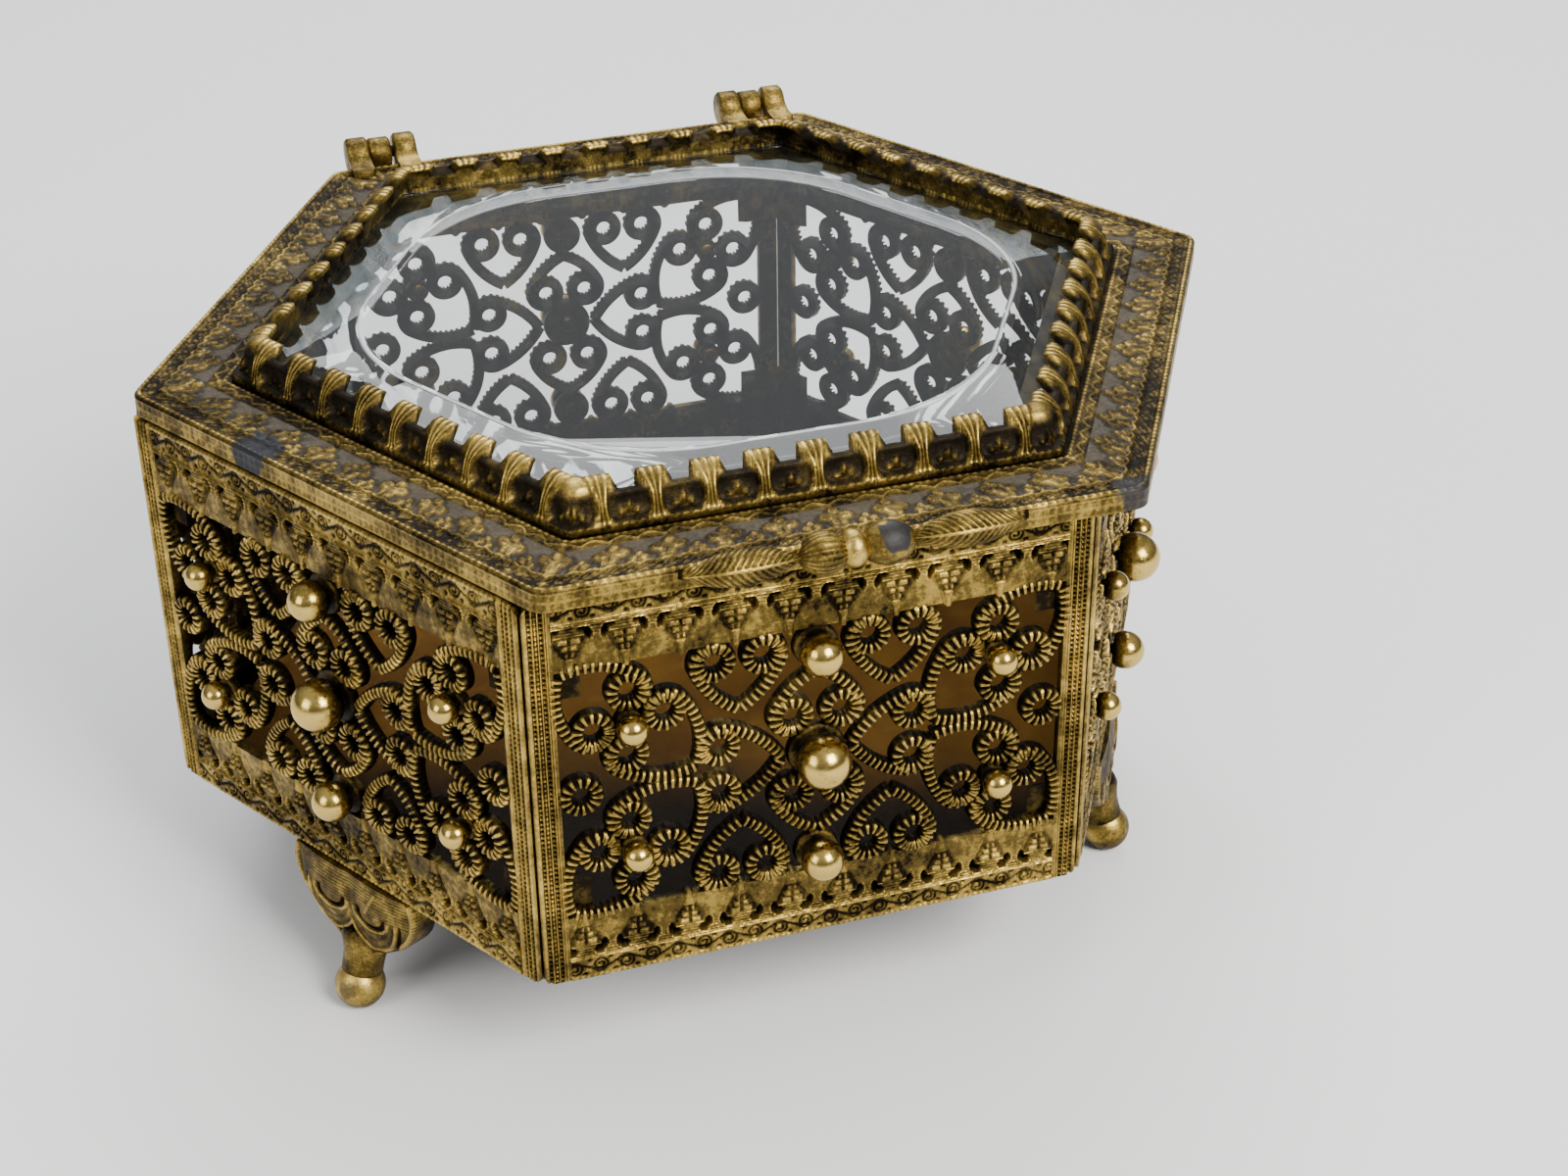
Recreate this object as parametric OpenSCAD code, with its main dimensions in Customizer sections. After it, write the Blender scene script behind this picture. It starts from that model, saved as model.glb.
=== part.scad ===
// Six-sided jewel casket of pierced brass filigree with a bevelled glass lid.
// Six cast panels stand on a floor plate, joined by bent angle straps inside
// the corners. The lid is a cast rim with a glass pane that a raised gallery
// holds down, and it turns on two barrel hinges along the back panel.
// All sizes are in millimetres, +Z is up, and the feet stand on Z = 0.

/* [Box body] */
// Length of one side of the box, corner to corner on the outer face
box_side = 67.3; // [62:0.5:72]
// Height of the side panels
panel_h = 51.6; // [48:0.2:56]
// Thickness of a side panel's plate
panel_t = 1.0; // [0.8:0.1:1.4]
// Height of the raised borders on a panel's plate
relief_t = 0.4; // [0.2:0.1:0.6]
// Gap between the inner edges of two neighbouring panels
corner_gap = 0.06; // [0.04:0.02:0.2]
// Radius of a panel's outer corners
panel_corner_r = 1.5; // [0.5:0.1:2.5]
// Height of the solid band along a panel's top and bottom edges
band_h = 9.1; // [8.6:0.1:9.8]
// Width of the upright band at each end of a panel
stile_w = 3.35; // [2.8:0.05:3.6]
// Distance from a panel's long edge to the raised line under its scroll border
scroll_h = 2.8; // [2.2:0.1:3.2]
// Distance from one border motif to the next
motif_pitch = 6.25; // [5.6:0.05:6.8]
// Number of motifs along one border
motif_count = 10; // [6:1:10]

/* [Filigree] */
// Width of the filigree wire
wire_w = 1.6; // [1.4:0.05:1.8]
// Thickness of the filigree, from the panel's inner face
wire_t = 1.6; // [1.3:0.1:2]
// Radius of a curl, to the middle of its wire
curl_r = 1.85; // [1.7:0.05:2]
// How far touching wires run into each other
bite = 0.3; // [0.2:0.05:0.4]
// How far a heart's arc swings outside its curl
arc_wrap = 0.5; // [0.4:0.05:0.6]
// Distance from the panel's centre line to the axis of an upper heart
crest_x = 9.1; // [8.8:0.1:9.6]
// Half the distance between an upper heart's two curls
crest_curl = 2.85; // [2.7:0.05:3]
// Length of an upper heart, from its curls to its point
crest_length = 6.7; // [6.2:0.1:7.4]
// Half the distance between the curls above the centre stud
centre_curl_x = 2.9; // [2.75:0.05:3.1]
// Height of those curls above the centre of the panel
centre_curl_y = 5.3; // [5:0.1:5.6]
// Distance from the panel's centre line to a side heart's curls
side_curl_x = 11.6; // [11.2:0.1:12.2]
// Height of a side heart's curls above the centre of the panel
side_curl_y = 3.1; // [2.8:0.1:3.4]
// Distance from the field's end to a corner stud
corner_stud_x = 8.2; // [7.9:0.1:8.8]
// Distance from the field's long edge to a corner stud
corner_stud_y = 8.1; // [7.8:0.1:8.6]

/* [Studs] */
// Radius of the ball of a centre stud
centre_ball_r = 3.2; // [2.8:0.1:3.4]
// Radius of the ball of a stud above or below the centre
upper_ball_r = 2.5; // [2.2:0.1:2.7]
// Radius of the ball of a corner stud
corner_ball_r = 1.8; // [1.6:0.1:1.9]
// Radius of a stud's rivet shank
shank_r = 0.7; // [0.5:0.05:0.85]
// Clearance round a shank in its hole
shank_gap = 0.05; // [0.03:0.01:0.1]
// Radius of the rivet head inside the box
rivet_head_r = 1.2; // [1:0.1:1.5]
// Thickness of that head
rivet_head_t = 0.4; // [0.3:0.1:0.6]

/* [Floor and feet] */
// Thickness of the floor plate
floor_t = 1.0; // [0.8:0.1:1.6]
// Clearance between the floor plate and the panels
floor_gap = 0.05; // [0.02:0.01:0.2]
// Thickness of the velvet lining
lining_t = 1.4; // [1:0.1:2.5]
// Clearance between the lining and the corner straps
lining_gap = 0.4; // [0.3:0.1:1]
// Distance from the panels' lower edge to the ground
foot_h = 19.8; // [17:0.2:23]
// Radius of the ball under a foot
foot_ball_r = 3.2; // [2.8:0.1:3.6]
// Radius of the worn flat that a ball stands on
foot_flat_r = 1.2; // [0.8:0.1:1.6]
// Distance from the panels' outer faces out to a ball's centre
foot_ball_out = 0.7; // [0:0.1:1.5]
// Half the width of a foot's shield
foot_half_w = 11.2; // [10:0.1:12.5]
// Depth of a foot's shield, from its front face inwards
foot_depth = 3.4; // [2.8:0.1:4.2]
// Distance from the panels' lower edge to the widest part of the shield
shield_top = 2.2; // [1.5:0.1:3.5]
// Height of the rounded part of the shield below that
shield_h = 8.8; // [7.5:0.1:9.6]
// Radius of a foot's neck
neck_r = 2.2; // [1.9:0.1:2.6]
// Width of the tab that holds a foot under the floor
foot_tab_w = 9; // [7:0.5:12]
// Thickness of that tab
foot_tab_t = 1.2; // [1:0.1:1.8]
// Length of that tab, inwards from the back of the shield
foot_tab_l = 7; // [6:0.5:10]
// Radius of the rivet through floor and tab
foot_rivet_r = 1.1; // [0.8:0.05:1.4]

/* [Corner straps] */
// Length of each leg of a corner strap
strap_leg = 6; // [4.5:0.5:7]
// Thickness of a corner strap
strap_t = 0.6; // [0.4:0.1:0.9]
// Height of a corner strap
strap_h = 12.5; // [10:0.5:16]

/* [Lid rim] */
// Length of one side of the lid, corner to corner
lid_side = 70; // [67:0.5:75]
// How far the lid sits to the right of the box
lid_shift = 3.2; // [0:0.1:3.7]
// Gap between the closed lid and the panels' upper edges
lid_gap = 0.15; // [0.1:0.05:0.4]
// Height of the rim's outer face
lid_lip = 2.6; // [2.2:0.1:3.4]
// Thickness of the plate under the gallery
lid_plate_t = 1.2; // [1:0.1:1.8]
// Width of the thick rim, from the lid's edge inwards
rim_w = 7.2; // [6.8:0.1:7.4]
// Radius of the lid's corners
lid_corner_r = 2.5; // [1:0.1:4]
// Height of the raised pattern on the rim
lid_relief_t = 0.3; // [0.2:0.1:0.5]
// Distance from the lid's edge to the centre of the flower row
flower_inset = 5.6; // [5.2:0.1:6]
// Number of flowers from one corner to the next
flower_count = 10; // [6:1:11]
// Radius of a flower of that row
flower_r = 1.1; // [0.8:0.1:1.2]

/* [Glass and gallery] */
// Distance from the lid's centre to the middle of the pane's side
pane_reach = 47.6; // [45:0.1:48.2]
// Thickness of the pane
pane_t = 2.6; // [2.2:0.1:3]
// Thickness of the pane's edge, below the bevel
pane_edge_t = 1.0; // [0.8:0.1:1.2]
// Width of the bevel
bevel_w = 8; // [6:0.5:10]
// Width of the ledge that the pane rests on
ledge_w = 4; // [3:0.5:5]
// Clearance between the pane's edge and the gallery
pane_gap = 0.25; // [0.1:0.05:0.5]
// Width of the gallery at its foot, from the pane's edge outwards
gallery_w = 2.5; // [2.2:0.1:2.8]
// Height of the gallery above the rim
gallery_h = 5.2; // [4.8:0.1:6]
// How far the gallery reaches in over the pane
gallery_over = 1.7; // [1.2:0.1:2.2]
// Distance from one gallery strap to the next
gallery_pitch = 6.2; // [5.8:0.05:6.4]
// Number of gallery straps along one side
gallery_count = 9; // [5:2:9]
// Width of a gallery strap
gallery_strap_w = 2.2; // [1.6:0.1:2.6]

/* [Thumb lift] */
// How far the thumb lift's centre lies to the right of the lid's
thumb_shift = 0.5; // [-2:0.1:4]
// Radius of the middle lobe
thumb_lobe_r = 2.4; // [2.1:0.1:2.8]
// Radius of the lobes beside it
thumb_side_r = 2.5; // [2.2:0.1:2.8]
// Distance from the middle lobe to a side lobe
thumb_lobe_pitch = 4.4; // [4:0.1:4.8]
// Length of a leaf at the thumb lift's end
thumb_leaf_l = 14.5; // [12:0.5:16]
// Radius of that leaf
thumb_leaf_r = 2.1; // [1.8:0.1:2.4]
// Depth of the thumb lift's centre line below the lid's upper face
thumb_drop = 1.0; // [0.8:0.1:1.3]

/* [Hinges] */
// Distance from the lid's centre line to the middle of a hinge
hinge_x = 27.6; // [24:0.1:27.7]
// Height of the hinge axis above the lid's upper face
hinge_rise = 1.1; // [0.9:0.1:1.8]
// Radius of the barrel on the box
barrel_r = 2.2; // [2:0.1:2.5]
// Radius of the eyes on the lid
eye_r = 2.5; // [2.3:0.1:2.6]
// Length of the barrel, and width of each eye
knuckle_l = 3.1; // [2.8:0.1:3.6]
// Gap between the barrel and the left eye
knuckle_gap = 0.06; // [0.05:0.01:0.2]
// Gap between the barrel and the right eye
knuckle_slack = 0.45; // [0.2:0.05:0.6]
// Radius of a hinge pin
pin_r = 0.8; // [0.6:0.05:1]
// Running clearance round a pin
pin_gap = 0.05; // [0.02:0.01:0.1]
// Gap between the lid's back face and the barrel
barrel_gap = 0.35; // [0.3:0.05:0.6]
// Thickness of the hinge brackets
bracket_t = 0.9; // [0.7:0.05:1]
// Length of a bracket's leg down the back panel
bracket_leg = 7; // [5:0.5:8]
// Thickness of the lug that holds an eye on the lid
lug_t = 1.1; // [0.8:0.1:1.3]
// Length of that lug, forwards from the lid's back face
lug_l = 3.6; // [3:0.1:4]

/* [Hidden] */

brass = [0.62, 0.50, 0.24];
old_brass = [0.48, 0.39, 0.20];
polished_brass = [0.80, 0.66, 0.32];
velvet_brown = [0.38, 0.29, 0.23];
clear_glass = [0.72, 0.82, 0.86, 0.35];

// Facets of round outlines, and a small overlap that joins two solids of one piece
$fn = 48;
join = 0.05;
root_3 = sqrt(3);

// Panels: the distance from the box's axis to the inner face, and half the width of either face
box_reach = box_side * root_3 / 2;
panel_in = box_reach - relief_t - panel_t;
panel_half_w = (panel_in - corner_gap) / root_3;
panel_outer_half_w = panel_half_w + panel_t / root_3;
panel_base_z = foot_h;
panel_mid_z = panel_base_z + panel_h / 2;
panel_top_z = panel_base_z + panel_h;
field_x = panel_outer_half_w - stile_w;
field_y = panel_h / 2 - band_h;

// Filigree: outer radius of a curl, and the places of curls, points and studs
curl_out = curl_r + wire_w / 2;
crest_y = field_y - curl_out + bite;
upper_pad_r = upper_ball_r + 0.4;
upper_stud_y = field_y - upper_pad_r + bite;
centre_curl = [centre_curl_x, centre_curl_y];
centre_pad_r = norm(centre_curl) - curl_out + bite;
side_curl = [side_curl_x, side_curl_y];
corner_stud = [field_x - corner_stud_x, field_y - corner_stud_y];
corner_pad_r = corner_ball_r;
clover_r = curl_out + corner_pad_r - bite;
inner_point_angle = -37;
inner_point = side_curl + (curl_out + wire_w / 2 - bite) * [cos(inner_point_angle), sin(inner_point_angle)];
corner_point = [field_x, field_y] - [1, 1] * (wire_w / 2 - bite);

// Studs, as [x, y, ball radius]
stud_places = concat(
    [[0, 0, centre_ball_r]],
    [for (v = [-1, 1]) [0, v * upper_stud_y, upper_ball_r]],
    [for (u = [-1, 1], v = [-1, 1]) [u * corner_stud[0], v * corner_stud[1], corner_ball_r]]
);
ball_sink = 0.38;

// Lid: reach of its edge, heights of its faces
lid_reach = lid_side * root_3 / 2;
lid_base_z = panel_top_z + lid_gap;
lid_top_z = lid_base_z + lid_lip;
rim_in = lid_reach - rim_w;
opening_reach = pane_reach - ledge_w;
gallery_in = pane_reach + pane_gap;
gallery_out = gallery_in + gallery_w;
gallery_top_in = pane_reach - gallery_over;
// Height of the gallery's underside over the pane's bevel
gallery_wall_z = pane_edge_t + 0.45;

// Thumb lift: places of its leaves, and how far its axis lies below the lid's upper face.
// Its lobes hang below the lid only where the lid overhangs the box.
thumb_leaf_x = thumb_lobe_pitch + thumb_side_r / 2 + thumb_leaf_l / 2;
thumb_end_x = thumb_leaf_x + thumb_leaf_l / 2;
thumb_axis_drop = min(thumb_drop, lid_lip - thumb_side_r + max(0, lid_reach - box_reach));

// Hinge axis, in the box's own plan
axis_y = lid_reach + barrel_gap + barrel_r;
axis_z = lid_top_z + hinge_rise;
bracket_gap_to_lid = 0.6;

// The part's origin lies under the middle of its bounding box
corner_round_off = lid_corner_r * (2 / root_3 - 1);
panel_outer_x = (panel_in + panel_t) * root_3 / 2 + panel_outer_half_w / 2;
reach_right = lid_side - corner_round_off + lid_shift;
reach_left = max(panel_outer_x, lid_side - corner_round_off - lid_shift);
reach_back = axis_y + eye_r;
reach_front = max(
    lid_reach + thumb_lobe_r,
    panel_in + wire_t + centre_ball_r * (2 - ball_sink)
);
box_x = (reach_left - reach_right) / 2;
box_y = (reach_front - reach_back) / 2;

// Corner points of a hexagon with flat front and back, rounded by radius r
function hexagon(reach, r = 0) =
    r == 0
    ? [for (k = [0 : 5]) reach * 2 / root_3 * [cos(60 * k), sin(60 * k)]]
    : [for (k = [0 : 5], a = [-30 : 10 : 30])
        (reach - r) * 2 / root_3 * [cos(60 * k), sin(60 * k)] + r * [cos(60 * k + a), sin(60 * k + a)]];

// A place on side k of the box: X along the side, Y up, Z outwards from the panels' inner faces
module on_side(k) {
    translate([box_x, box_y, panel_mid_z])
        rotate([0, 0, 60 * k])
            translate([0, -panel_in, 0])
                rotate([90, 0, 0])
                    children();
}

// A place on the lid: the origin at the lid's centre, on its upper face
module on_lid() {
    translate([box_x + lid_shift, box_y, lid_top_z])
        children();
}

module hexagon_ring(outer, inner, height, r = 0) {
    linear_extrude(height)
        difference() {
            polygon(hexagon(outer, r));
            polygon(hexagon(inner));
        }
}

// ---- Side panels ----

// Centre of the arc that runs from point p round the outside of the curl at c, towards the curl at other
function arc_centre(c, p, other, radius) =
    let (
        to_curl = radius - curl_r - arc_wrap,
        span = norm(p - c),
        along = (p - c) / span,
        across = [-along[1], along[0]],
        foot = (to_curl * to_curl - radius * radius + span * span) / (2 * span),
        rise = sqrt(to_curl * to_curl - foot * foot),
        first = c + along * foot + across * rise,
        second = c + along * foot - across * rise
    )
    norm(first - other) < norm(second - other) ? first : second;

module ring(c) {
    translate(c)
        difference() {
            circle(curl_out);
            circle(curl_out - wire_w);
        }
}

// The part of a ring of wire between two directions from its centre
module wire_arc(centre, radius, from, to) {
    turn = (to - from + 540) % 360 - 180;
    far = radius * 1.5;
    translate(centre)
        intersection() {
            difference() {
                circle(radius + wire_w / 2, $fn = 96);
                circle(radius - wire_w / 2, $fn = 96);
            }
            polygon(concat([[0, 0]], [for (i = [0 : 3]) far * [cos(from + turn * i / 3), sin(from + turn * i / 3)]]));
        }
}

// One curl of a heart with the arc that joins it to the heart's point
module half_heart(c, p, other, bend) {
    radius = bend * norm(p - c);
    centre = arc_centre(c, p, other, radius);
    to_point = p - centre;
    to_curl = c - centre;
    ring(c);
    wire_arc(centre, radius, atan2(to_point[1], to_point[0]), atan2(to_curl[1], to_curl[0]));
}

module heart(first, second, p, bend) {
    half_heart(first, p, second, bend);
    half_heart(second, p, first, bend);
    translate(p)
        circle(wire_w / 2 + bite / 2);
}

// The filigree of the panel's upper right quarter, and what it shares with the next quarters
module filigree_quarter() {
    heart(
        [crest_x - crest_curl, crest_y],
        [crest_x + crest_curl, crest_y],
        [crest_x, crest_y - crest_length],
        1.5
    );
    clover = [for (a = [90, -5, 170, -85]) corner_stud + clover_r * [cos(a), sin(a)]];
    heart(clover[0], clover[1], corner_point, 1.15);
    heart(clover[2], clover[3], inner_point, 1.15);
    translate(corner_stud)
        circle(corner_pad_r);
}

module filigree() {
    difference() {
        union() {
            for (u = [0, 1], v = [0, 1])
                mirror([u, 0])
                    mirror([0, v])
                        filigree_quarter();
            for (v = [0, 1])
                mirror([0, v]) {
                    heart(
                        centre_curl,
                        [-centre_curl[0], centre_curl[1]],
                        [0, upper_stud_y - upper_pad_r - bite],
                        1.5
                    );
                    translate([0, upper_stud_y])
                        circle(upper_pad_r);
                }
            for (u = [0, 1])
                mirror([u, 0]) {
                    heart(
                        side_curl,
                        [side_curl[0], -side_curl[1]],
                        [centre_pad_r + wire_w / 2 - bite, 0],
                        1.5
                    );
                    ring([field_x - curl_out + bite, 0]);
                }
            circle(centre_pad_r);
        }
        stud_holes();
    }
}

module stud_holes() {
    for (s = stud_places)
        translate([s[0], s[1]])
            circle(shank_r + shank_gap);
}

function rounded_rectangle(half_w, half_h, r) =
    [for (q = [[1, 1, 0], [-1, 1, 90], [-1, -1, 180], [1, -1, 270]], a = [0 : 18 : 90])
        [q[0] * (half_w - r), q[1] * (half_h - r)] + r * [cos(q[2] + a), sin(q[2] + a)]];

module panel_frame() {
    difference() {
        polygon(rounded_rectangle(panel_outer_half_w, panel_h / 2, panel_corner_r));
        square([2 * field_x, 2 * field_y], center = true);
        motif_pits();
    }
}

// Pairs of pits at the root of every border motif
module motif_pits() {
    for (v = [-1, 1], x = motif_places(), s = [-1, 1])
        translate([x + s * motif_pitch * 0.27, v * (panel_h / 2 - scroll_h - 1.2)])
            circle(0.55, $fn = 24);
}

function motif_places() =
    [for (i = [0 : motif_count - 1]) (i - (motif_count - 1) / 2) * motif_pitch];

// The tongues of the border motifs, which point into the field
module motif_tongues() {
    root_y = panel_h / 2 - scroll_h - 2.2;
    for (v = [0, 1], x = motif_places())
        mirror([0, v])
            translate([x, 0])
                polygon([
                    [-1.5, root_y], [1.5, root_y], [1.5, root_y - 1.6],
                    [0.5, field_y - bite], [-0.5, field_y - bite], [-1.5, root_y - 1.6]
                ]);
}

// Raised ribs of the upright bands, and the raised lines along the borders
module border_lines() {
    rib_w = 0.35;
    rib_count = 4;
    rib_pitch = (stile_w - 2 * rib_w) / rib_count;
    line_y = panel_h / 2 - scroll_h;
    for (u = [-1, 1], i = [0 : rib_count - 1])
        translate([u * (field_x + rib_w + i * rib_pitch), 0])
            square([rib_w, panel_h - 2 * panel_corner_r], center = true);
    for (v = [-1, 1])
        translate([0, v * line_y])
            square([2 * field_x, 0.5], center = true);
}

// A block with mitred ends, on which neighbouring panels meet
module mitre_block() {
    rotate([90, 0, 0])
        linear_extrude(panel_h + 2 * join, center = true)
            polygon([
                [-panel_half_w, 0], [panel_half_w, 0],
                [panel_outer_half_w, panel_t], [-panel_outer_half_w, panel_t]
            ]);
}

module panel_shape() {
    intersection() {
        linear_extrude(panel_t)
            panel_frame();
        mitre_block();
    }
    linear_extrude(wire_t)
        filigree();
    translate([0, 0, panel_t - join])
        linear_extrude(relief_t + join)
            border_lines();
    translate([0, 0, panel_t - join])
        linear_extrude(relief_t + join)
            motif_tongues();
}

module panel_front() color(brass) on_side(0) panel_shape();
module panel_front_right() color(brass) on_side(1) panel_shape();
module panel_back_right() color(brass) on_side(2) panel_shape();
module panel_back() color(brass) on_side(3) panel_shape();
module panel_back_left() color(brass) on_side(4) panel_shape();
module panel_front_left() color(brass) on_side(5) panel_shape();

// ---- Ball studs, each a flattened ball with a rivet shank through the panel ----

module stud(ball_r) {
    ball_z = wire_t + ball_r * (1 - ball_sink);
    difference() {
        translate([0, 0, ball_z])
            sphere(ball_r);
        translate([0, 0, wire_t - ball_r])
            cube(2 * ball_r, center = true);
    }
    cylinder(h = wire_t + ball_r / 2, r = shank_r);
    translate([0, 0, -rivet_head_t])
        cylinder(h = rivet_head_t, r = rivet_head_r);
}

module stud_set() {
    for (s = stud_places)
        translate([s[0], s[1], 0])
            stud(s[2]);
}

module studs_front() color(polished_brass) on_side(0) stud_set();
module studs_front_right() color(polished_brass) on_side(1) stud_set();
module studs_back_right() color(polished_brass) on_side(2) stud_set();
module studs_back() color(polished_brass) on_side(3) stud_set();
module studs_back_left() color(polished_brass) on_side(4) stud_set();
module studs_front_left() color(polished_brass) on_side(5) stud_set();

// ---- Corner straps, floor and lining ----

// A bent strip inside each corner, soldered to both panels
module corner_strap_ring(base_z) {
    corner_r = panel_in * 2 / root_3;
    for (k = [0 : 5])
        translate([box_x, box_y, base_z])
            rotate([0, 0, 60 * k])
                linear_extrude(strap_h)
                    intersection() {
                        difference() {
                            polygon(hexagon(panel_in));
                            polygon(hexagon(panel_in - strap_t));
                        }
                        translate([corner_r, 0])
                            square([strap_leg, 2 * strap_leg * root_3 / 2], center = true);
                    }
}

module corner_straps_upper() color(old_brass) corner_strap_ring(panel_top_z - strap_h - 0.8);

module corner_straps_lower() color(old_brass) corner_strap_ring(panel_base_z + floor_t);

module floor_plate() {
    color(old_brass)
        translate([box_x, box_y, panel_base_z])
            linear_extrude(floor_t)
                difference() {
                    polygon(hexagon(panel_in - floor_gap));
                    for (k = [0 : 5])
                        if (has_foot(k))
                            rotate([0, 0, 60 * k])
                                translate([0, -foot_rivet_y()])
                                    circle(foot_rivet_r + shank_gap);
                }
}

module floor_lining() {
    color(velvet_brown)
        translate([box_x, box_y, panel_base_z + floor_t])
            linear_extrude(lining_t)
                polygon(hexagon(panel_in - strap_t - rivet_head_t - lining_gap, 1));
}

// ---- Feet, under the four slanting sides ----

function has_foot(k) = k != 0 && k != 3;
function foot_back_reach() = box_reach - foot_depth;
function foot_rivet_y() = foot_back_reach() - foot_tab_l / 2;

// Outline of the shield, from the panel's edge round to the neck
module shield_outline() {
    fillet = 1.4;
    right = concat(
        [[foot_half_w - 0.6, 0]],
        [for (a = [0 : 9 : 63]) [foot_half_w * cos(a), -shield_top - shield_h * sin(a)]],
        [[neck_r + fillet, -shield_top - shield_h], [neck_r, -shield_top - shield_h - fillet]]
    );
    left = [for (i = [len(right) - 1 : -1 : 0]) [-right[i][0], right[i][1]]];
    polygon(concat(right, left));
}

// The ball, worn flat where it stands, and the neck that leans out to it from the shield
module foot_ball_and_neck(face_z) {
    ball_rise = sqrt(foot_ball_r * foot_ball_r - foot_flat_r * foot_flat_r);
    ball_y = ball_rise - foot_h;
    neck_top_y = -shield_top - 0.75 * shield_h;
    neck_rise = neck_top_y - ball_y;
    neck_run = foot_ball_out + foot_depth / 2;
    translate([0, ball_y, face_z + foot_ball_out]) {
        difference() {
            sphere(foot_ball_r);
            translate([0, -ball_rise - foot_ball_r, 0])
                cube(2 * foot_ball_r, center = true);
        }
        rotate([-90 - atan2(neck_run, neck_rise), 0, 0])
            cylinder(h = norm([neck_run, neck_rise]), r = neck_r);
    }
}

module foot_shape() {
    face_z = box_reach - panel_in;
    translate([0, -panel_h / 2, 0]) {
        translate([0, 0, face_z - foot_depth])
            linear_extrude(foot_depth)
                shield_outline();
        foot_ball_and_neck(face_z);
        difference() {
            translate([-foot_tab_w / 2, -foot_tab_t, face_z - foot_depth - foot_tab_l])
                cube([foot_tab_w, foot_tab_t, foot_tab_l + join]);
            translate([0, -foot_tab_t - join, face_z - foot_depth - foot_tab_l / 2])
                rotate([-90, 0, 0])
                    cylinder(h = foot_tab_t + 2 * join, r = foot_rivet_r + shank_gap);
        }
    }
}

module foot_front_right() color(brass) on_side(1) foot_shape();
module foot_back_right() color(brass) on_side(2) foot_shape();
module foot_back_left() color(brass) on_side(4) foot_shape();
module foot_front_left() color(brass) on_side(5) foot_shape();

module foot_rivets() {
    head_t = 0.7;
    color(old_brass)
        for (k = [0 : 5])
            if (has_foot(k))
                translate([box_x, box_y, 0])
                    rotate([0, 0, 60 * k])
                        translate([0, -foot_rivet_y(), panel_base_z - foot_tab_t]) {
                            cylinder(h = foot_tab_t + floor_t, r = foot_rivet_r);
                            translate([0, 0, -head_t])
                                cylinder(h = head_t, r = 2 * foot_rivet_r);
                        }
}

// ---- Lid ----

// Raised lines and flowers on the rim's upper face
module rim_relief() {
    line_w = 0.6;
    flower_reach = lid_reach - flower_inset;
    flower_pitch = flower_reach * 2 / root_3 / flower_count;
    difference() {
        union() {
            for (inset = [0.4, 3.2])
                hexagon_ring(lid_reach - inset, lid_reach - inset - line_w, lid_relief_t + join, lid_corner_r);
            for (k = [0 : 5], i = [1 : flower_count])
                rotate([0, 0, 60 * k])
                    translate([(i - flower_count / 2) * flower_pitch, -flower_reach, 0])
                        cylinder(h = lid_relief_t + join, r = flower_r, $fn = 24);
        }
        for (s = [-1, 1])
            translate([s * hinge_x, lid_reach, 0])
                cube([3 * knuckle_l + 2, 2 * lug_l + 1, 4], center = true);
    }
}

module lid_rim() {
    color(brass)
        on_lid() {
            difference() {
                translate([0, 0, -lid_lip])
                    linear_extrude(lid_lip)
                        polygon(hexagon(lid_reach, lid_corner_r));
                translate([0, 0, -lid_lip - join])
                    linear_extrude(lid_lip - lid_plate_t + join)
                        polygon(hexagon(rim_in));
                translate([0, 0, -lid_lip - join])
                    linear_extrude(lid_lip + 2 * join)
                        polygon(hexagon(opening_reach));
            }
            translate([0, 0, -join])
                rim_relief();
        }
}

// A hexagonal pane whose upper edge is ground to a wide, flat bevel
module glass_pane() {
    edge_corner = pane_reach * 2 / root_3;
    top_corner = (pane_reach - bevel_w) * 2 / root_3;
    color(clear_glass)
        on_lid() {
            cylinder(h = pane_edge_t, r = edge_corner, $fn = 6);
            translate([0, 0, pane_edge_t])
                cylinder(h = pane_t - pane_edge_t, r1 = edge_corner, r2 = top_corner, $fn = 6);
        }
}

// Side view of a gallery strap, which arches up and over from the rim to the pane
module gallery_strap() {
    arch_r = gallery_out - gallery_in + gallery_over - 0.4;
    arch_foot = gallery_out - arch_r;
    arch_h = gallery_h - 1;
    rotate([90, 0, 90])
        linear_extrude(gallery_strap_w, center = true)
            polygon(concat(
                [[arch_foot, gallery_wall_z], [arch_foot, gallery_h]],
                [for (a = [80 : -16 : 0]) [arch_foot + arch_r * cos(a), 1 + arch_h * sin(a)]],
                [[gallery_out, 0.4], [gallery_in + 0.5, 0.4], [gallery_in + 0.5, gallery_wall_z]]
            ));
}

module glass_gallery() {
    foot_t = pane_edge_t + 0.6;
    color(brass)
        on_lid() {
            hexagon_ring(gallery_out, gallery_in, foot_t, 1.5);
            translate([0, 0, gallery_wall_z])
                hexagon_ring(gallery_in + 0.6, gallery_top_in + 0.5, gallery_h - gallery_wall_z - 0.5, 1);
            translate([0, 0, gallery_h - 0.9])
                hexagon_ring(gallery_in + 1, gallery_top_in, 0.9, 1);
            for (k = [0 : 5], i = [0 : gallery_count - 1])
                rotate([0, 0, 60 * k])
                    translate([(i - (gallery_count - 1) / 2) * gallery_pitch, 0, 0])
                        gallery_strap();
        }
}

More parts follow.
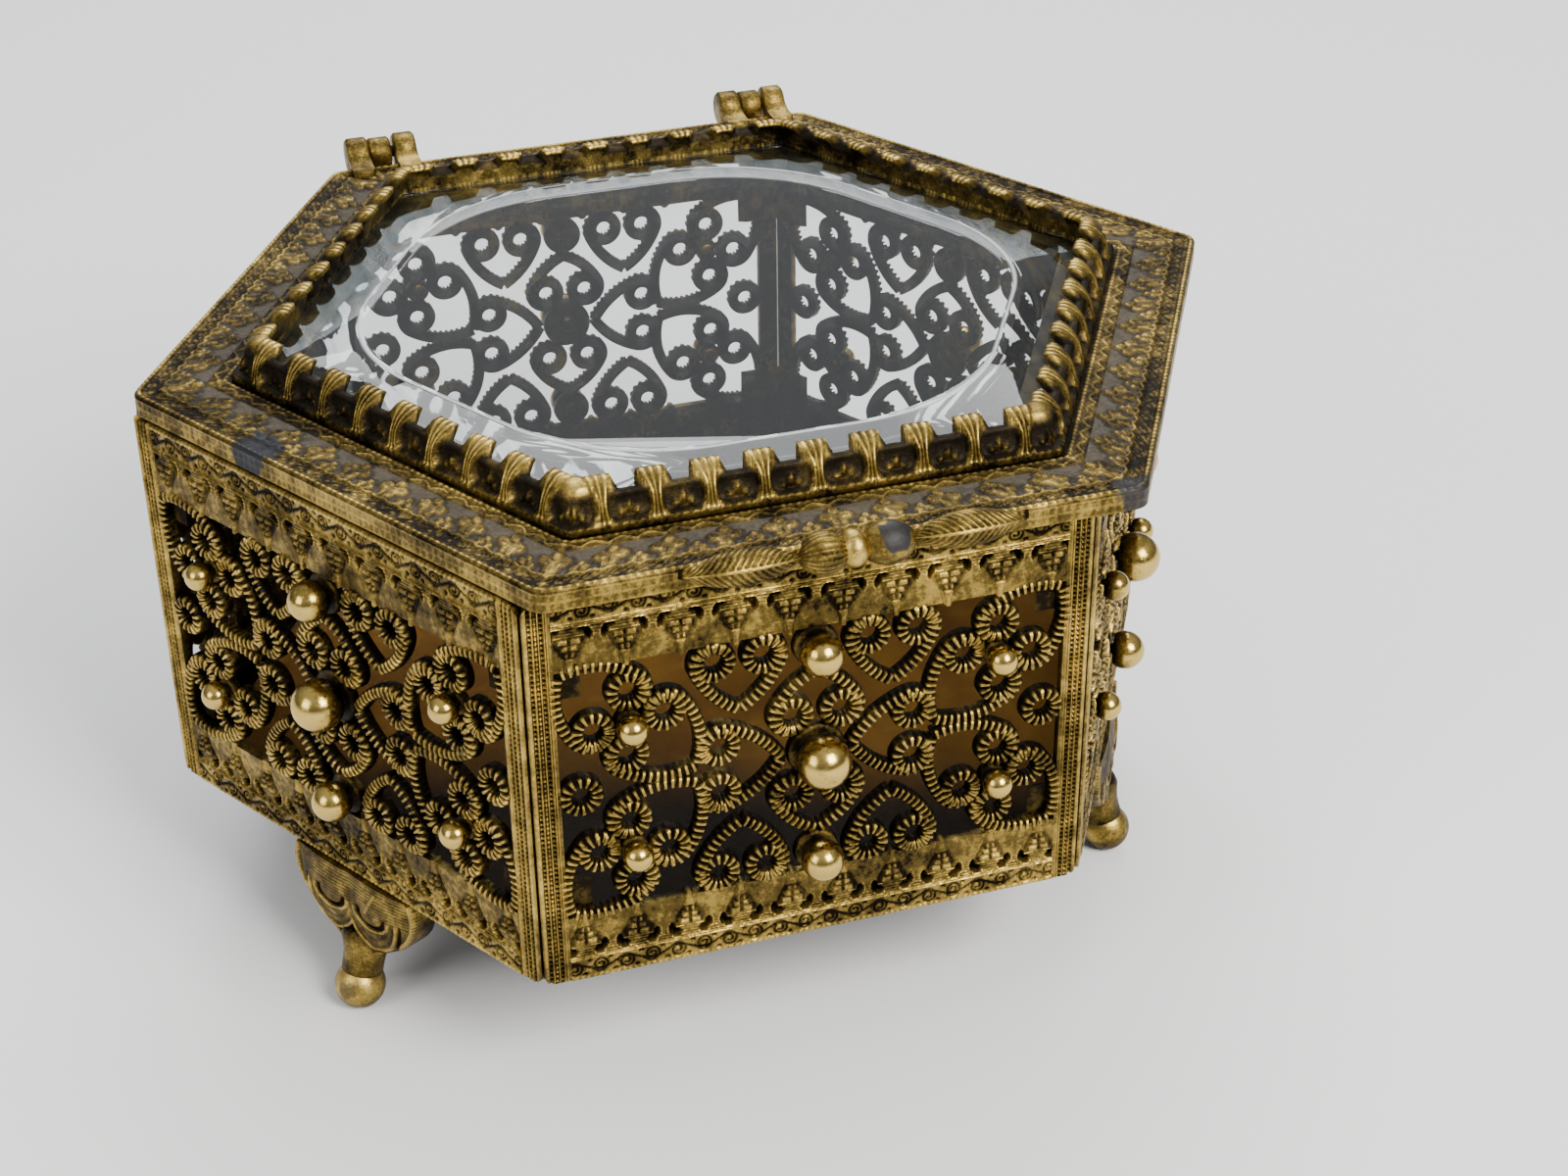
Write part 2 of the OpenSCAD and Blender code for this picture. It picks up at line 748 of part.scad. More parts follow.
// Radius of the thumb lift at a distance x from its middle: lobes, waist and leaves
function ball_outline(r, d) = abs(d) < r ? sqrt(r * r - d * d) : 0;
function leaf_outline(d) = thumb_leaf_r * max(0, 1 - pow(2 * d / thumb_leaf_l, 2));
function thumb_radius(x) = max(
    ball_outline(thumb_lobe_r, x),
    ball_outline(thumb_side_r, abs(x) - thumb_lobe_pitch),
    leaf_outline(abs(x) - thumb_leaf_x),
    abs(x) < thumb_lobe_pitch ? 0.65 * thumb_lobe_r : 0
);

module thumb_lift() {
    steps = 90;
    block = 2 * thumb_side_r;
    color(polished_brass)
        on_lid()
            translate([thumb_shift, -lid_reach, -thumb_axis_drop])
                difference() {
                    rotate([0, 90, 0])
                        rotate_extrude()
                            polygon(concat(
                                [[0, -thumb_end_x]],
                                [for (i = [1 : steps - 1])
                                    let (x = thumb_end_x * (2 * i / steps - 1))
                                        [thumb_radius(x), x]],
                                [[0, thumb_end_x]]
                            ));
                    translate([-2 * thumb_end_x, 0, -block])
                        cube([4 * thumb_end_x, block, 2 * block]);
                }
}

// ---- Hinges: a barrel on the box between two eyes on the lid, on one pin ----

eyes_l = 3 * knuckle_l + knuckle_gap + knuckle_slack;

// A place on hinge s, -1 left or 1 right: the origin on the axis, at the hinge's middle
module on_hinge(s) {
    translate([box_x + lid_shift + s * hinge_x, box_y + axis_y, axis_z])
        children();
}

module along_x(x, length) {
    translate([x, 0, 0])
        rotate([90, 0, 90])
            linear_extrude(length)
                children();
}

// Side view of a bracket, Y backwards and Z up from the axis: the barrel, a strip
// down behind both the lid and the panel, a step in under the lid's overhang and a leg
// down the back panel
module bracket_outline() {
    lid_face = -barrel_gap - barrel_r;
    panel_face = lid_face - (lid_reach - box_reach);
    strip_y = max(lid_face + bracket_gap_to_lid, panel_face);
    step_z = -hinge_rise - lid_lip - bracket_gap_to_lid;
    difference() {
        union() {
            circle(barrel_r);
            translate([strip_y, step_z - bracket_t])
                square([bracket_t, -step_z + bracket_t]);
            translate([panel_face, step_z - bracket_t])
                square([strip_y - panel_face + bracket_t, bracket_t]);
            translate([panel_face, step_z - bracket_leg])
                square([bracket_t, bracket_leg]);
        }
        circle(pin_r + pin_gap);
    }
}

module hinge_bracket(s) {
    color(brass)
        on_hinge(s)
            along_x(-eyes_l / 2 + knuckle_l + knuckle_gap, knuckle_l)
                bracket_outline();
}

module hinge_bracket_left() hinge_bracket(-1);
module hinge_bracket_right() hinge_bracket(1);

module eye_outline() {
    lid_face = -barrel_gap - barrel_r;
    difference() {
        union() {
            circle(eye_r);
            translate([lid_face - lug_l, -hinge_rise])
                square([lug_l - lid_face, lug_t]);
        }
        circle(pin_r + pin_gap);
    }
}

module hinge_eyes(s) {
    color(brass)
        on_hinge(s)
            for (x = [-eyes_l / 2, eyes_l / 2 - knuckle_l])
                along_x(x, knuckle_l)
                    eye_outline();
}

module hinge_eyes_left() hinge_eyes(-1);
module hinge_eyes_right() hinge_eyes(1);

module hinge_pin(s) {
    color(old_brass)
        on_hinge(s)
            along_x(-eyes_l / 2, eyes_l)
                circle(pin_r);
}

module hinge_pin_left() hinge_pin(-1);
module hinge_pin_right() hinge_pin(1);

panel_front();
panel_front_right();
panel_back_right();
panel_back();
panel_back_left();
panel_front_left();
studs_front();
studs_front_right();
studs_back_right();
studs_back();
studs_back_left();
studs_front_left();
corner_straps_upper();
corner_straps_lower();
floor_plate();
floor_lining();
foot_front_right();
foot_back_right();
foot_back_left();
foot_front_left();
foot_rivets();
lid_rim();
glass_pane();
glass_gallery();
thumb_lift();
hinge_bracket_left();
hinge_bracket_right();
hinge_eyes_left();
hinge_eyes_right();
hinge_pin_left();
hinge_pin_right();
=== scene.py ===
"""Looks of a six-sided casket of pierced brass filigree with a bevelled glass lid.

Shapes are worked out in millimetres in a piece's own plane and placed in the CAD model's
frame, in metres. Three tones are stored at every point of a brass piece: how much it is
rubbed bright, which on some parts also carries painted shade, how much grey grime fills it,
and how far its gilding has gone black.
"""

import math

import bpy
import numpy as np
from mathutils import Matrix, Vector


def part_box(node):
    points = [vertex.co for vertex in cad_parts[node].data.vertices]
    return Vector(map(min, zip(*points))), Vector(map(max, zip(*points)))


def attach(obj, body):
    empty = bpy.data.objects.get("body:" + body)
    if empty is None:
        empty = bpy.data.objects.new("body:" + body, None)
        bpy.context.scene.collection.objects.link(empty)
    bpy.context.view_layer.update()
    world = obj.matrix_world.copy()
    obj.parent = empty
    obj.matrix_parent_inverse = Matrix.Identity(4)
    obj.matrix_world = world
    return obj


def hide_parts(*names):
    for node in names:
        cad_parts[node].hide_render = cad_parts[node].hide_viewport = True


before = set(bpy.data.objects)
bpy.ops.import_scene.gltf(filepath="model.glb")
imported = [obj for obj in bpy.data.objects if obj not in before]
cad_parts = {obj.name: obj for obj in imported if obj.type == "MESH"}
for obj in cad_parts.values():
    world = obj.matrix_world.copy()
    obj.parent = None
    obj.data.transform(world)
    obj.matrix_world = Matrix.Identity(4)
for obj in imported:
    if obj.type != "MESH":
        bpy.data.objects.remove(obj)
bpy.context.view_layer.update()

MM = 0.001
ROOT_3 = math.sqrt(3)
SIDES = ["front", "front_right", "back_right", "back", "back_left", "front_left"]
FOOT_SIDES = (1, 2, 4, 5)

# ---- Sizes shared with the CAD model, in millimetres ----

# Panels: inner faces this far from the box's middle, bare field inside borders and stiles
PANEL_IN = 56.8835
PANEL_INNER_HALF_W = 32.75
PANEL_HALF_W = 33.2
PANEL_H = 51.6
FACE_Z = 1.4
FIELD_X = 30.0344
FIELD_Y = 16.7
MOTIF_PITCH = 6.25

# Filigree: pieces that meet overlap by BITE, and an arc runs on round its curl by ARC_WRAP
WIRE_W = 1.6
WIRE_T = 1.6
CURL_R = 1.85
BITE = 0.3
ARC_WRAP = 0.5
BALL_SINK = 0.38

# Lid, measured from its middle
LID_REACH = 60.6218
RIM_IN = 53.4218
OPENING_REACH = 43.6
GALLERY_PITCH = 6.2
PANE_REACH = 47.6
PANE_EDGE_T = 1.0
BEVEL_W = 8.0
THUMB_SHIFT = 0.5
THUMB_DROP = 1.0

# Feet and lining
FOOT_H = 19.8
FOOT_BALL_R = 3.2
FOOT_FLAT_R = 1.2
FOOT_BALL_OUT = 0.7
FOOT_DEPTH = 3.4
FOOT_TAB = (9.0, 1.2, 7.0)
LINING_REACH = 55.4835

# Hinges, seen from the end of their pin
HINGE_X = 27.6
HINGE_RISE = 1.1
BARREL_R = 2.2
EYE_R = 2.5
LID_FACE_Y = -2.55
BRACKET_T = 0.9
LUG_L = 3.6


def middle(node):
    """The middle of a CAD node's box, in millimetres."""
    low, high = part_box(node)
    return np.array((low + high) / 2) / MM


def face(node, axis, end):
    """Where a CAD node's box ends along an axis, low (0) or high (1), in millimetres."""
    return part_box(node)[end][axis] / MM


BOX_XY = middle("floor_plate")[:2]
LID_XY = middle("glass_pane")[:2]
PANEL_BASE_Z = face("panel_front", 2, 0)
PANEL_MID_Z = PANEL_BASE_Z + PANEL_H / 2
LID_CENTRE = np.array([*LID_XY, face("glass_pane", 2, 0)])
AXIS_Y, AXIS_Z = middle("hinge_pin_left")[1:]


# ---- Small numeric helpers ----


def ease(value, low, high):
    """Rises smoothly from 0 at low to 1 at high."""
    t = np.clip((value - low) / (high - low), 0, 1)
    return t * t * (3 - 2 * t)


def bump_line(distance, half_width):
    """1 on a line, falling smoothly to 0 at half_width from it."""
    return ease(np.abs(distance), half_width, 0.35 * half_width)


def ripple(value, pitch):
    """Waves between 0 and 1, with a crest at 0 and every pitch from it."""
    return 0.5 + 0.5 * np.cos(2 * np.pi * value / pitch)


def window(value, low, high, soft):
    """1 between low and high, with soft edges."""
    return ease(value, low, low + soft) * ease(value, high, high - soft)


def grid(first, second):
    """Two grids that hold first down their rows and second along their columns."""
    return np.meshgrid(first, second, indexing="ij")


class Relief:
    """Height and rubbing over a face, to which each line of a pattern adds its share."""

    def __init__(self, height, wear):
        self.height = height
        self.wear = wear

    def add(self, mask, height, wear):
        self.height = self.height + mask * height
        self.wear = self.wear + mask * wear

    def replace(self, mask, height, wear):
        self.add(mask, height - self.height, wear - self.wear)


def tones_of(wear, grime=0.0):
    """Tones of points with this rubbing and grime, none of them gone black."""
    wear, grime = np.broadcast_arrays(np.clip(wear, 0, 1.1), np.clip(grime, 0, 1))
    return np.stack([wear, grime, np.zeros(wear.shape)], axis=-1)


def turned(points, degrees):
    """Points turned about Z."""
    cos, sin = math.cos(math.radians(degrees)), math.sin(math.radians(degrees))
    x, y, z = np.moveaxis(points, -1, 0)
    return np.stack([x * cos - y * sin, x * sin + y * cos, z], axis=-1)


def on_side(points, k):
    """Moves panel coordinates (along, up, out from the inner face) to side k of the box."""
    flat = np.stack([points[:, 0], -PANEL_IN - points[:, 2], points[:, 1]], axis=1)
    out = turned(flat, 60 * k)
    out[:, :2] += BOX_XY
    out[:, 2] += PANEL_MID_Z
    return out


def on_lid(points):
    """Moves lid coordinates, which start from the centre of its upper face, to the lid."""
    return points + LID_CENTRE


# ---- Building meshes ----


def store_tones(mesh, tones):
    """Stores one triple of tones, or one for each point, where the materials read them."""
    colours = np.ones((len(mesh.vertices), 4), np.float32)
    colours[:, :3] = tones
    attribute = mesh.attributes.new("tone", "FLOAT_COLOR", "POINT")
    attribute.data.foreach_set("color", colours.ravel())


class Shell:
    """Points, faces and tones of one piece, gathered part by part."""

    def __init__(self):
        self.points = []
        self.faces = []
        self.tones = []
        self.count = 0

    def add(self, points, faces, tones):
        points = np.asarray(points, float)
        tones = np.broadcast_to(np.asarray(tones, float), (len(points), 3))
        self.points.append(points)
        self.tones.append(tones)
        for block in faces:
            self.faces.append(np.asarray(block) + self.count)
        self.count += len(points)

    def placed(self, place):
        out = Shell()
        out.points = [place(np.concatenate(self.points))]
        out.tones = [np.concatenate(self.tones)]
        out.faces = list(self.faces)
        out.count = self.count
        return out

    def blacken(self, place, radii, strength):
        """Turns the gilding black inside a ragged ellipsoid round a place."""
        points = np.concatenate(self.points)
        tones = np.concatenate(self.tones)
        d = np.linalg.norm((points - place) / radii, axis=1)
        d += 0.12 * np.sin(3.1 * points[:, 0] + 1.3 * points[:, 1]) + 0.10 * np.sin(2.3 * points[:, 1])
        tones[:, 2] = np.maximum(tones[:, 2], strength * ease(d, 1.0, 0.85))
        self.points = [points]
        self.tones = [tones]

    def build(self, name, node, body, finish, sharp=50):
        """Makes the piece that takes a CAD node's place. finish is its material and a slot name,
        of which only the material is used; edges above sharp degrees stay hard."""
        points = np.concatenate(self.points) * MM
        faces = [corners for block in self.faces for corners in block.tolist()]
        mesh = bpy.data.meshes.new(name)
        mesh.from_pydata(points, [], faces, shade_flat=False)
        mesh.validate()
        mesh.set_sharp_from_angle(angle=math.radians(sharp))
        store_tones(mesh, np.concatenate(self.tones))
        mesh.materials.append(finish[0])
        piece = bpy.data.objects.new(name, mesh)
        bpy.context.scene.collection.objects.link(piece)
        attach(piece, body)
        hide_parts(node)
        return piece

    def build_on_side(self, k, name, node, finish):
        """Makes the piece on side k of the box, from panel coordinates."""
        placed = self.placed(lambda points: on_side(points, k))
        placed.build(f"{name}_{SIDES[k]}", f"{node}_{SIDES[k]}", "box", finish)


def grid_faces(rows, columns, wrap_rows=False, wrap_columns=False):
    """Quads between neighbouring points of a grid stored row by row."""
    i, j = grid(np.arange(rows - 1 + wrap_rows), np.arange(columns - 1 + wrap_columns))
    row, next_row = i * columns, (i + 1) % rows * columns
    next_j = (j + 1) % columns
    quads = np.stack([row + j, row + next_j, next_row + next_j, next_row + j], axis=-1)
    return quads.reshape(-1, 4)


def tube_faces(rows, columns, flip=False):
    """Faces of a tube through closed rows of points, with a flat cap at each end."""
    quads = grid_faces(rows, columns, wrap_columns=True)
    first = np.arange(columns).reshape(1, -1)
    last = first + (rows - 1) * columns
    if flip:
        return [quads[:, ::-1], first, last[:, ::-1]]
    return [quads, first[:, ::-1], last]


def add_tube(shell, loops, tones, flip=False):
    """A solid through closed loops of as many points each, capped flat at both ends."""
    faces = tube_faces(len(loops), len(loops[0]), flip)
    shell.add(np.concatenate(loops), faces, np.concatenate(tones))


def add_slab(shell, x, y, height, wear, mirror=(1, 1), base=0.0, tuck=None):
    """A closed slab from Z = base up to a grid of heights; x, y and wear are grids too. It is
    mirrored in X and Y as mirror says. Its under side is drawn in to tuck, half a width,
    where that is given."""
    if mirror[0] * mirror[1] < 0:
        x, y, height, wear = (g[:, ::-1] for g in (x, y, height, wear))
    rows, columns = x.shape
    top = np.stack([mirror[0] * x, mirror[1] * y, height], axis=-1).reshape(-1, 3)
    tones = tones_of(wear).reshape(-1, 3)
    edge = np.concatenate([
        np.arange(columns),
        np.arange(1, rows) * columns + columns - 1,
        (rows - 1) * columns + np.arange(columns - 2, -1, -1),
        np.arange(rows - 2, 0, -1) * columns,
    ])
    under = top[edge].copy()
    under[:, 2] = base
    if tuck:
        under[:, 0] = np.clip(under[:, 0], -tuck, tuck)
    bottom = rows * columns + np.arange(len(edge))
    walls = np.stack([edge, bottom, np.roll(bottom, -1), np.roll(edge, -1)], axis=1)
    faces = [grid_faces(rows, columns), walls, bottom[::-1].reshape(1, -1)]
    shell.add(np.concatenate([top, under]), faces, np.concatenate([tones, tones[edge] * [0.2, 1, 1]]))


def add_lathe(shell, profile, centre, axis, wear, segments=32):
    """A solid of revolution. profile holds pairs of radius and distance along the axis."""
    axis = np.asarray(axis, float)
    side = np.cross(axis, [0.3, 0.5, 0.8])
    side /= np.linalg.norm(side)
    other = np.cross(axis, side)
    angle = np.linspace(0, 2 * np.pi, segments, endpoint=False)
    ring = np.cos(angle)[:, None] * side + np.sin(angle)[:, None] * other
    radius, along = profile[:, :1, None], profile[:, 1:, None]
    points = np.asarray(centre) + radius * ring[None] + along * axis
    wear = np.broadcast_to(np.reshape(wear, (-1, 1)), (len(profile), segments))
    add_tube(shell, points, tones_of(wear))


def ball_profile(radius, start, steps):
    """Profile of a ball from start degrees, counted from its middle's level, to its top."""
    angle = np.radians(np.linspace(start, 90, steps + 1))
    return np.stack([np.maximum(radius * np.cos(angle), 1e-3), radius * np.sin(angle)], axis=1)


def add_bar(shell, outline, start, end, place, wear, bevel):
    """An outline in (Y, Z), run along X from start to end with bevelled ends, then placed."""
    centre = outline.mean(axis=0)
    span = np.linalg.norm(outline - centre, axis=1)
    rows = []
    for x, inset in ((start, bevel), (start + bevel, 0.0), (end - bevel, 0.0), (end, bevel)):
        flat = centre + (outline - centre) * (1 - inset / np.maximum(span, bevel))[:, None]
        rows.append(np.column_stack([np.full(len(flat), x), flat]))
    add_tube(shell, np.array(rows) + place, tones_of(np.full((len(rows), len(outline)), wear)))


# ---- Materials ----


class Nodes:
    """Short calls for building the nodes of a material or of the world."""

    def __init__(self, owner):
        """Starts the nodes of a new material or world afresh."""
        self.owner = owner
        owner.use_nodes = True
        self.tree = owner.node_tree
        self.tree.nodes.clear()

    def add(self, kind, sockets=None, **values):
        """A new node; each of its sockets takes a value or another node's output."""
        node = self.tree.nodes.new(kind)
        for key, value in values.items():
            setattr(node, key, value)
        for key, value in (sockets or {}).items():
            if hasattr(value, "is_output"):
                self.tree.links.new(value, node.inputs[key])
            else:
                node.inputs[key].default_value = value
        return node

    def math(self, operation, a, b=0.0, clamp=False):
        return self.add("ShaderNodeMath", {0: a, 1: b}, operation=operation, use_clamp=clamp).outputs[0]

    def span(self, value, low, high, to_low=0.0, to_high=1.0):
        sockets = {"Value": value, "From Min": low, "From Max": high, "To Min": to_low, "To Max": to_high}
        return self.add("ShaderNodeMapRange", sockets, interpolation_type="SMOOTHSTEP").outputs[0]

    def mix(self, share, a, b):
        return self.add("ShaderNodeMix", {0: share, 6: a, 7: b}, data_type="RGBA").outputs[2]

    def blend(self, share, a, b):
        """One shader with a share of another over it."""
        return self.add("ShaderNodeMixShader", {0: share, 1: a, 2: b}).outputs[0]

    def noise(self, scale, detail, coords, roughness=0.55):
        sockets = {"Scale": scale, "Detail": detail, "Roughness": roughness, "Vector": coords}
        return self.add("ShaderNodeTexNoise", sockets).outputs[0]

    def coords(self, scale=(1, 1, 1)):
        source = self.add("ShaderNodeTexCoord").outputs["Object"]
        return self.add("ShaderNodeMapping", {"Scale": scale, "Vector": source}).outputs[0]

    def tones(self):
        """The three tones stored at a piece's points."""
        stored = self.add("ShaderNodeAttribute", attribute_name="tone").outputs["Color"]
        return self.add("ShaderNodeSeparateColor", {0: stored}).outputs

    def bump(self, height, distance, strength, normal=None):
        sockets = {"Strength": strength, "Distance": distance, "Height": height}
        if normal is not None:
            sockets["Normal"] = normal
        return self.add("ShaderNodeBump", sockets).outputs[0]

    def principled(self, sockets):
        return self.add("ShaderNodeBsdfPrincipled", sockets).outputs[0]

    def finished(self, shader, kind="ShaderNodeOutputMaterial"):
        self.add(kind, {"Surface": shader})
        return self.owner


DARK = (0.009, 0.006, 0.003, 1)
OLIVE = (0.100, 0.067, 0.016, 1)
GOLD = (0.330, 0.222, 0.050, 1)
BRIGHT_GOLD = (0.68, 0.485, 0.135, 1)
GREY = (0.082, 0.069, 0.048, 1)
BROWN_GRIME = (0.038, 0.028, 0.015, 1)
BLACK = (0.030, 0.031, 0.035, 1)


def brass(name, wear_gain=1.0, dullness=0.0, rough=0.34, hatch=1.0):
    """Antique brass: bright where rubbed, dark in its recesses, with fine engraver's hatching."""
    n = Nodes(bpy.data.materials.new(name))
    wear, grime, black = n.tones()
    coords = n.coords()
    broad = n.noise(70, 4, coords)
    patch = n.noise(420, 4, coords)
    speck = n.noise(2600, 3, coords, 0.7)
    scratches = n.noise(900, 3, n.coords((1, 1, 7)), 0.6)
    rubbed = n.math("MULTIPLY", wear, wear_gain)
    for texture, swing in ((broad, 0.20), (patch, 0.18), (speck, 0.14)):
        rubbed = n.math("ADD", rubbed, n.span(texture, 0.3, 0.7, -swing, swing))
    rubbed = n.math("ADD", rubbed, -dullness, clamp=True)
    low = n.mix(n.span(rubbed, 0.04, 0.42), DARK, OLIVE)
    high = n.mix(n.span(rubbed, 0.40, 0.80), low, GOLD)
    colour = n.mix(n.span(rubbed, 0.80, 1.15), high, BRIGHT_GOLD)
    grimy = n.math("MULTIPLY", grime, n.span(patch, 0.25, 0.6, 0.7, 1.0))
    colour = n.mix(grimy, colour, n.mix(n.span(speck, 0.3, 0.7), GREY, BROWN_GRIME))
    blackened = n.math("MULTIPLY", black, n.span(patch, 0.20, 0.45, 0.6, 1.0))
    colour = n.mix(blackened, colour, BLACK)
    dull = n.math("MAXIMUM", grimy, n.math("MULTIPLY", blackened, 0.3))
    roughness = n.span(rubbed, 0.1, 1.0, rough + 0.22, rough)
    roughness = n.math("ADD", roughness, n.span(speck, 0.3, 0.7, -0.05, 0.07))
    fine = n.bump(scratches, 0.00006 * hatch, 0.8)
    return n.finished(n.principled({
        "Base Color": colour,
        "Metallic": n.span(dull, 0.0, 1.0, 1.0, 0.25),
        "Roughness": n.math("ADD", roughness, n.math("MULTIPLY", dull, 0.25), clamp=True),
        "Normal": n.bump(speck, 0.00005 * hatch, 0.7, fine),
    }))


def glass(name):
    """Clear plate glass that lets lamps light what is under it. The first tone is 1 where it
    is ground, which leaves faint streaks, and the second along the ground part's inner line, where a pale
    line is painted as a highlight."""
    n = Nodes(bpy.data.materials.new(name))
    ground, line, _ = n.tones()
    haze = n.noise(220, 5, n.coords(), 0.65)
    streaks = n.noise(1.0, 3, n.coords((700, 60, 60)), 0.5)
    clean = n.mix(n.span(haze, 0.35, 0.75), (0.97, 0.985, 0.98, 1), (0.90, 0.93, 0.93, 1))
    stripes = n.math("MULTIPLY", ground, n.span(streaks, 0.35, 0.65, 0.45, 1.0))
    pane = n.principled({
        "Base Color": n.mix(stripes, clean, (0.36, 0.44, 0.46, 1)),
        "Transmission Weight": 1.0,
        "IOR": 1.5,
        "Specular IOR Level": n.span(ground, 0.0, 1.0, 0.5, 0.18),
        "Roughness": n.span(haze, 0.55, 0.80, 0.0, 0.05),
        "Normal": n.bump(n.math("MULTIPLY", streaks, ground), 0.000012, 0.5),
    })
    # Painted highlight: a pale matte line along the bevel's inner crease.
    painted_arris_highlight = n.add("ShaderNodeBsdfDiffuse", {"Color": (0.62, 0.66, 0.66, 1)}).outputs[0]
    clear = n.add("ShaderNodeBsdfTransparent", {"Color": (0.86, 0.88, 0.87, 1)}).outputs[0]
    shadow_ray = n.add("ShaderNodeLightPath").outputs["Is Shadow Ray"]
    solid = n.blend(n.math("MULTIPLY", line, 0.75), pane, painted_arris_highlight)
    return n.finished(n.blend(shadow_ray, solid, clear))


def velvet(name):
    """Short velvet pile, amber, and mauve brown where a painted haze stands in for the glass's
    reflections over it.
    The first tone is how much of that painted reflection haze it takes, the second how much painted shade
    darkens it."""
    n = Nodes(bpy.data.materials.new(name))
    painted_reflection_haze, painted_shade, _ = n.tones()
    coords = n.coords()
    broad = n.noise(38, 4, coords)
    pile = n.noise(5200, 2, coords, 0.7)
    crush = n.noise(260, 4, coords)
    amber = n.mix(n.span(broad, 0.3, 0.7), (0.088, 0.035, 0.003, 1), (0.185, 0.085, 0.008, 1))
    mauve = n.mix(n.span(broad, 0.3, 0.7), (0.130, 0.088, 0.055, 1), (0.190, 0.135, 0.088, 1))
    # Painted reflection haze: mauve brown towards the back.
    colour = n.mix(painted_reflection_haze, amber, mauve)
    colour = n.mix(n.span(pile, 0.35, 0.65, 0.0, 0.20), colour, (0.040, 0.018, 0.006, 1))
    colour = n.mix(n.span(crush, 0.5, 0.75, 0.0, 0.3), colour, (0.22, 0.115, 0.02, 1))
    # Painted shade: near black towards the front, where the walls and rim shade the velvet.
    colour = n.mix(painted_shade, colour, (0.006, 0.004, 0.003, 1))
    return n.finished(n.principled({
        "Base Color": colour,
        "Roughness": 0.95,
        "Sheen Weight": 0.03,
        "Sheen Roughness": 0.45,
        "Specular IOR Level": 0.15,
        "Normal": n.bump(pile, 0.00025, 0.8, n.bump(crush, 0.0004, 0.5)),
    }))


# Finishes: material and slot
CAST = (brass("cast_brass"), "antique_brass")
BALLS = (brass("ball_brass", wear_gain=1.25, rough=0.18, hatch=0.35), "polished_brass")
PLATE_GLASS = (glass("clear_glass"), "clear_glass")
AMBER_VELVET = (velvet("amber_velvet"), "velvet")
OLD_BRASS = brass("old_brass", wear_gain=0.5, dullness=0.05, rough=0.45)
CAD_NODES = (
    "corner_straps_upper", "corner_straps_lower", "floor_plate", "foot_rivets", "hinge_pin_left",
    "hinge_pin_right",
)


# ---- Side panels ----

GROOVE_PITCH = 0.86
# Where the points of one groove and its crest lie along the wire, as shares of the pitch
GROOVE_PLACES = np.array([0.0, 0.34, 0.47, 0.62, 0.80])
IN_GROOVE = np.array([True, True, False, False, False])

# Section of a filigree wire on a crest and in a groove: across, height, rubbing
CREST_SECTION = np.array([
    [-0.80, 0.00, 0.0], [-0.80, 0.85, 0.0], [-0.74, 1.25, 0.20], [-0.50, 1.54, 0.86], [0.0, 1.60, 0.64],
    [0.50, 1.54, 0.86], [0.74, 1.25, 0.20], [0.80, 0.85, 0.0], [0.80, 0.00, 0.0],
])
GROOVE_SECTION = np.array([
    [-0.80, 0.00, 0.0], [-0.70, 0.72, 0.0], [-0.62, 0.95, 0.0], [-0.36, 1.04, 0.0], [0.0, 1.06, 0.0],
    [0.36, 1.04, 0.0], [0.62, 0.95, 0.0], [0.70, 0.72, 0.0], [0.80, 0.00, 0.0],
])


# How far an arc runs on round its curl, in degrees, and its radius over its span
WRAP_TURN = 150
HEART_BEND = 1.5
CLOVER_BEND = 1.15
# Directions of a corner stud's four curls, and of the point that its inner heart runs to
CLOVER_ANGLES = np.radians([90, -5, 170, -85])
INWARD_ANGLE = np.radians(-37)
# Hearts under the borders: their middle, half the distance between their curls, and length
CREST_X, CREST_CURL, CREST_LENGTH = 9.1, 2.85, 6.7
CENTRE_CURL = np.array([2.9, 5.3])
SIDE_CURL = np.array([11.6, 3.1])
CORNER_STUD = np.array([FIELD_X - 8.2, FIELD_Y - 8.1])
BALL_RADII = {"centre": 3.2, "upper": 2.5, "corner": 1.8}
CURL_OUT = CURL_R + WIRE_W / 2
UPPER_PAD_R = BALL_RADII["upper"] + 0.4
UPPER_STUD_Y = FIELD_Y - UPPER_PAD_R + BITE
CENTRE_PAD_R = np.linalg.norm(CENTRE_CURL) - CURL_OUT + BITE


def even(path, closed):
    """The path sampled with a whole number of grooves along it, its normals, and which
    points lie in a groove."""
    ring = np.concatenate([path, path[:1]]) if closed else path
    steps = np.linalg.norm(np.diff(ring, axis=0), axis=1)
    length = np.concatenate([[0], np.cumsum(steps)])
    grooves = max(2, int(round(length[-1] / GROOVE_PITCH)))
    at = (np.arange(grooves)[:, None] + GROOVE_PLACES[None, :]).ravel() * length[-1] / grooves
    points = np.stack([np.interp(at, length, ring[:, i]) for i in (0, 1)], axis=1)
    ahead = np.roll(points, -1, axis=0) - np.roll(points, 1, axis=0)
    if not closed:
        ahead[0] = points[1] - points[0]
        ahead[-1] = points[-1] - points[-2]
    ahead /= np.linalg.norm(ahead, axis=1)[:, None]
    normals = np.stack([-ahead[:, 1], ahead[:, 0]], axis=1)
    return points, normals, np.tile(IN_GROOVE, grooves)


def add_wire(shell, path, closed, lower=0.0):
    """A grooved wire along a 2-D path. lower sinks its crown, so that it passes under another."""
    points, normals, groove = even(np.asarray(path, float), closed)
    section = np.where(groove[:, None, None], GROOVE_SECTION, CREST_SECTION)
    n, m = section.shape[:2]
    across, height, wear = np.moveaxis(section, -1, 0)
    flat = points[:, None, :] + normals[:, None, :] * across[..., None]
    height = height - lower * (height > 0)
    faces = [grid_faces(n, m, True, True)[:, ::-1]] if closed else tube_faces(n, m, flip=True)
    shell.add(np.dstack([flat, height]).reshape(-1, 3), faces, tones_of(wear).reshape(-1, 3))


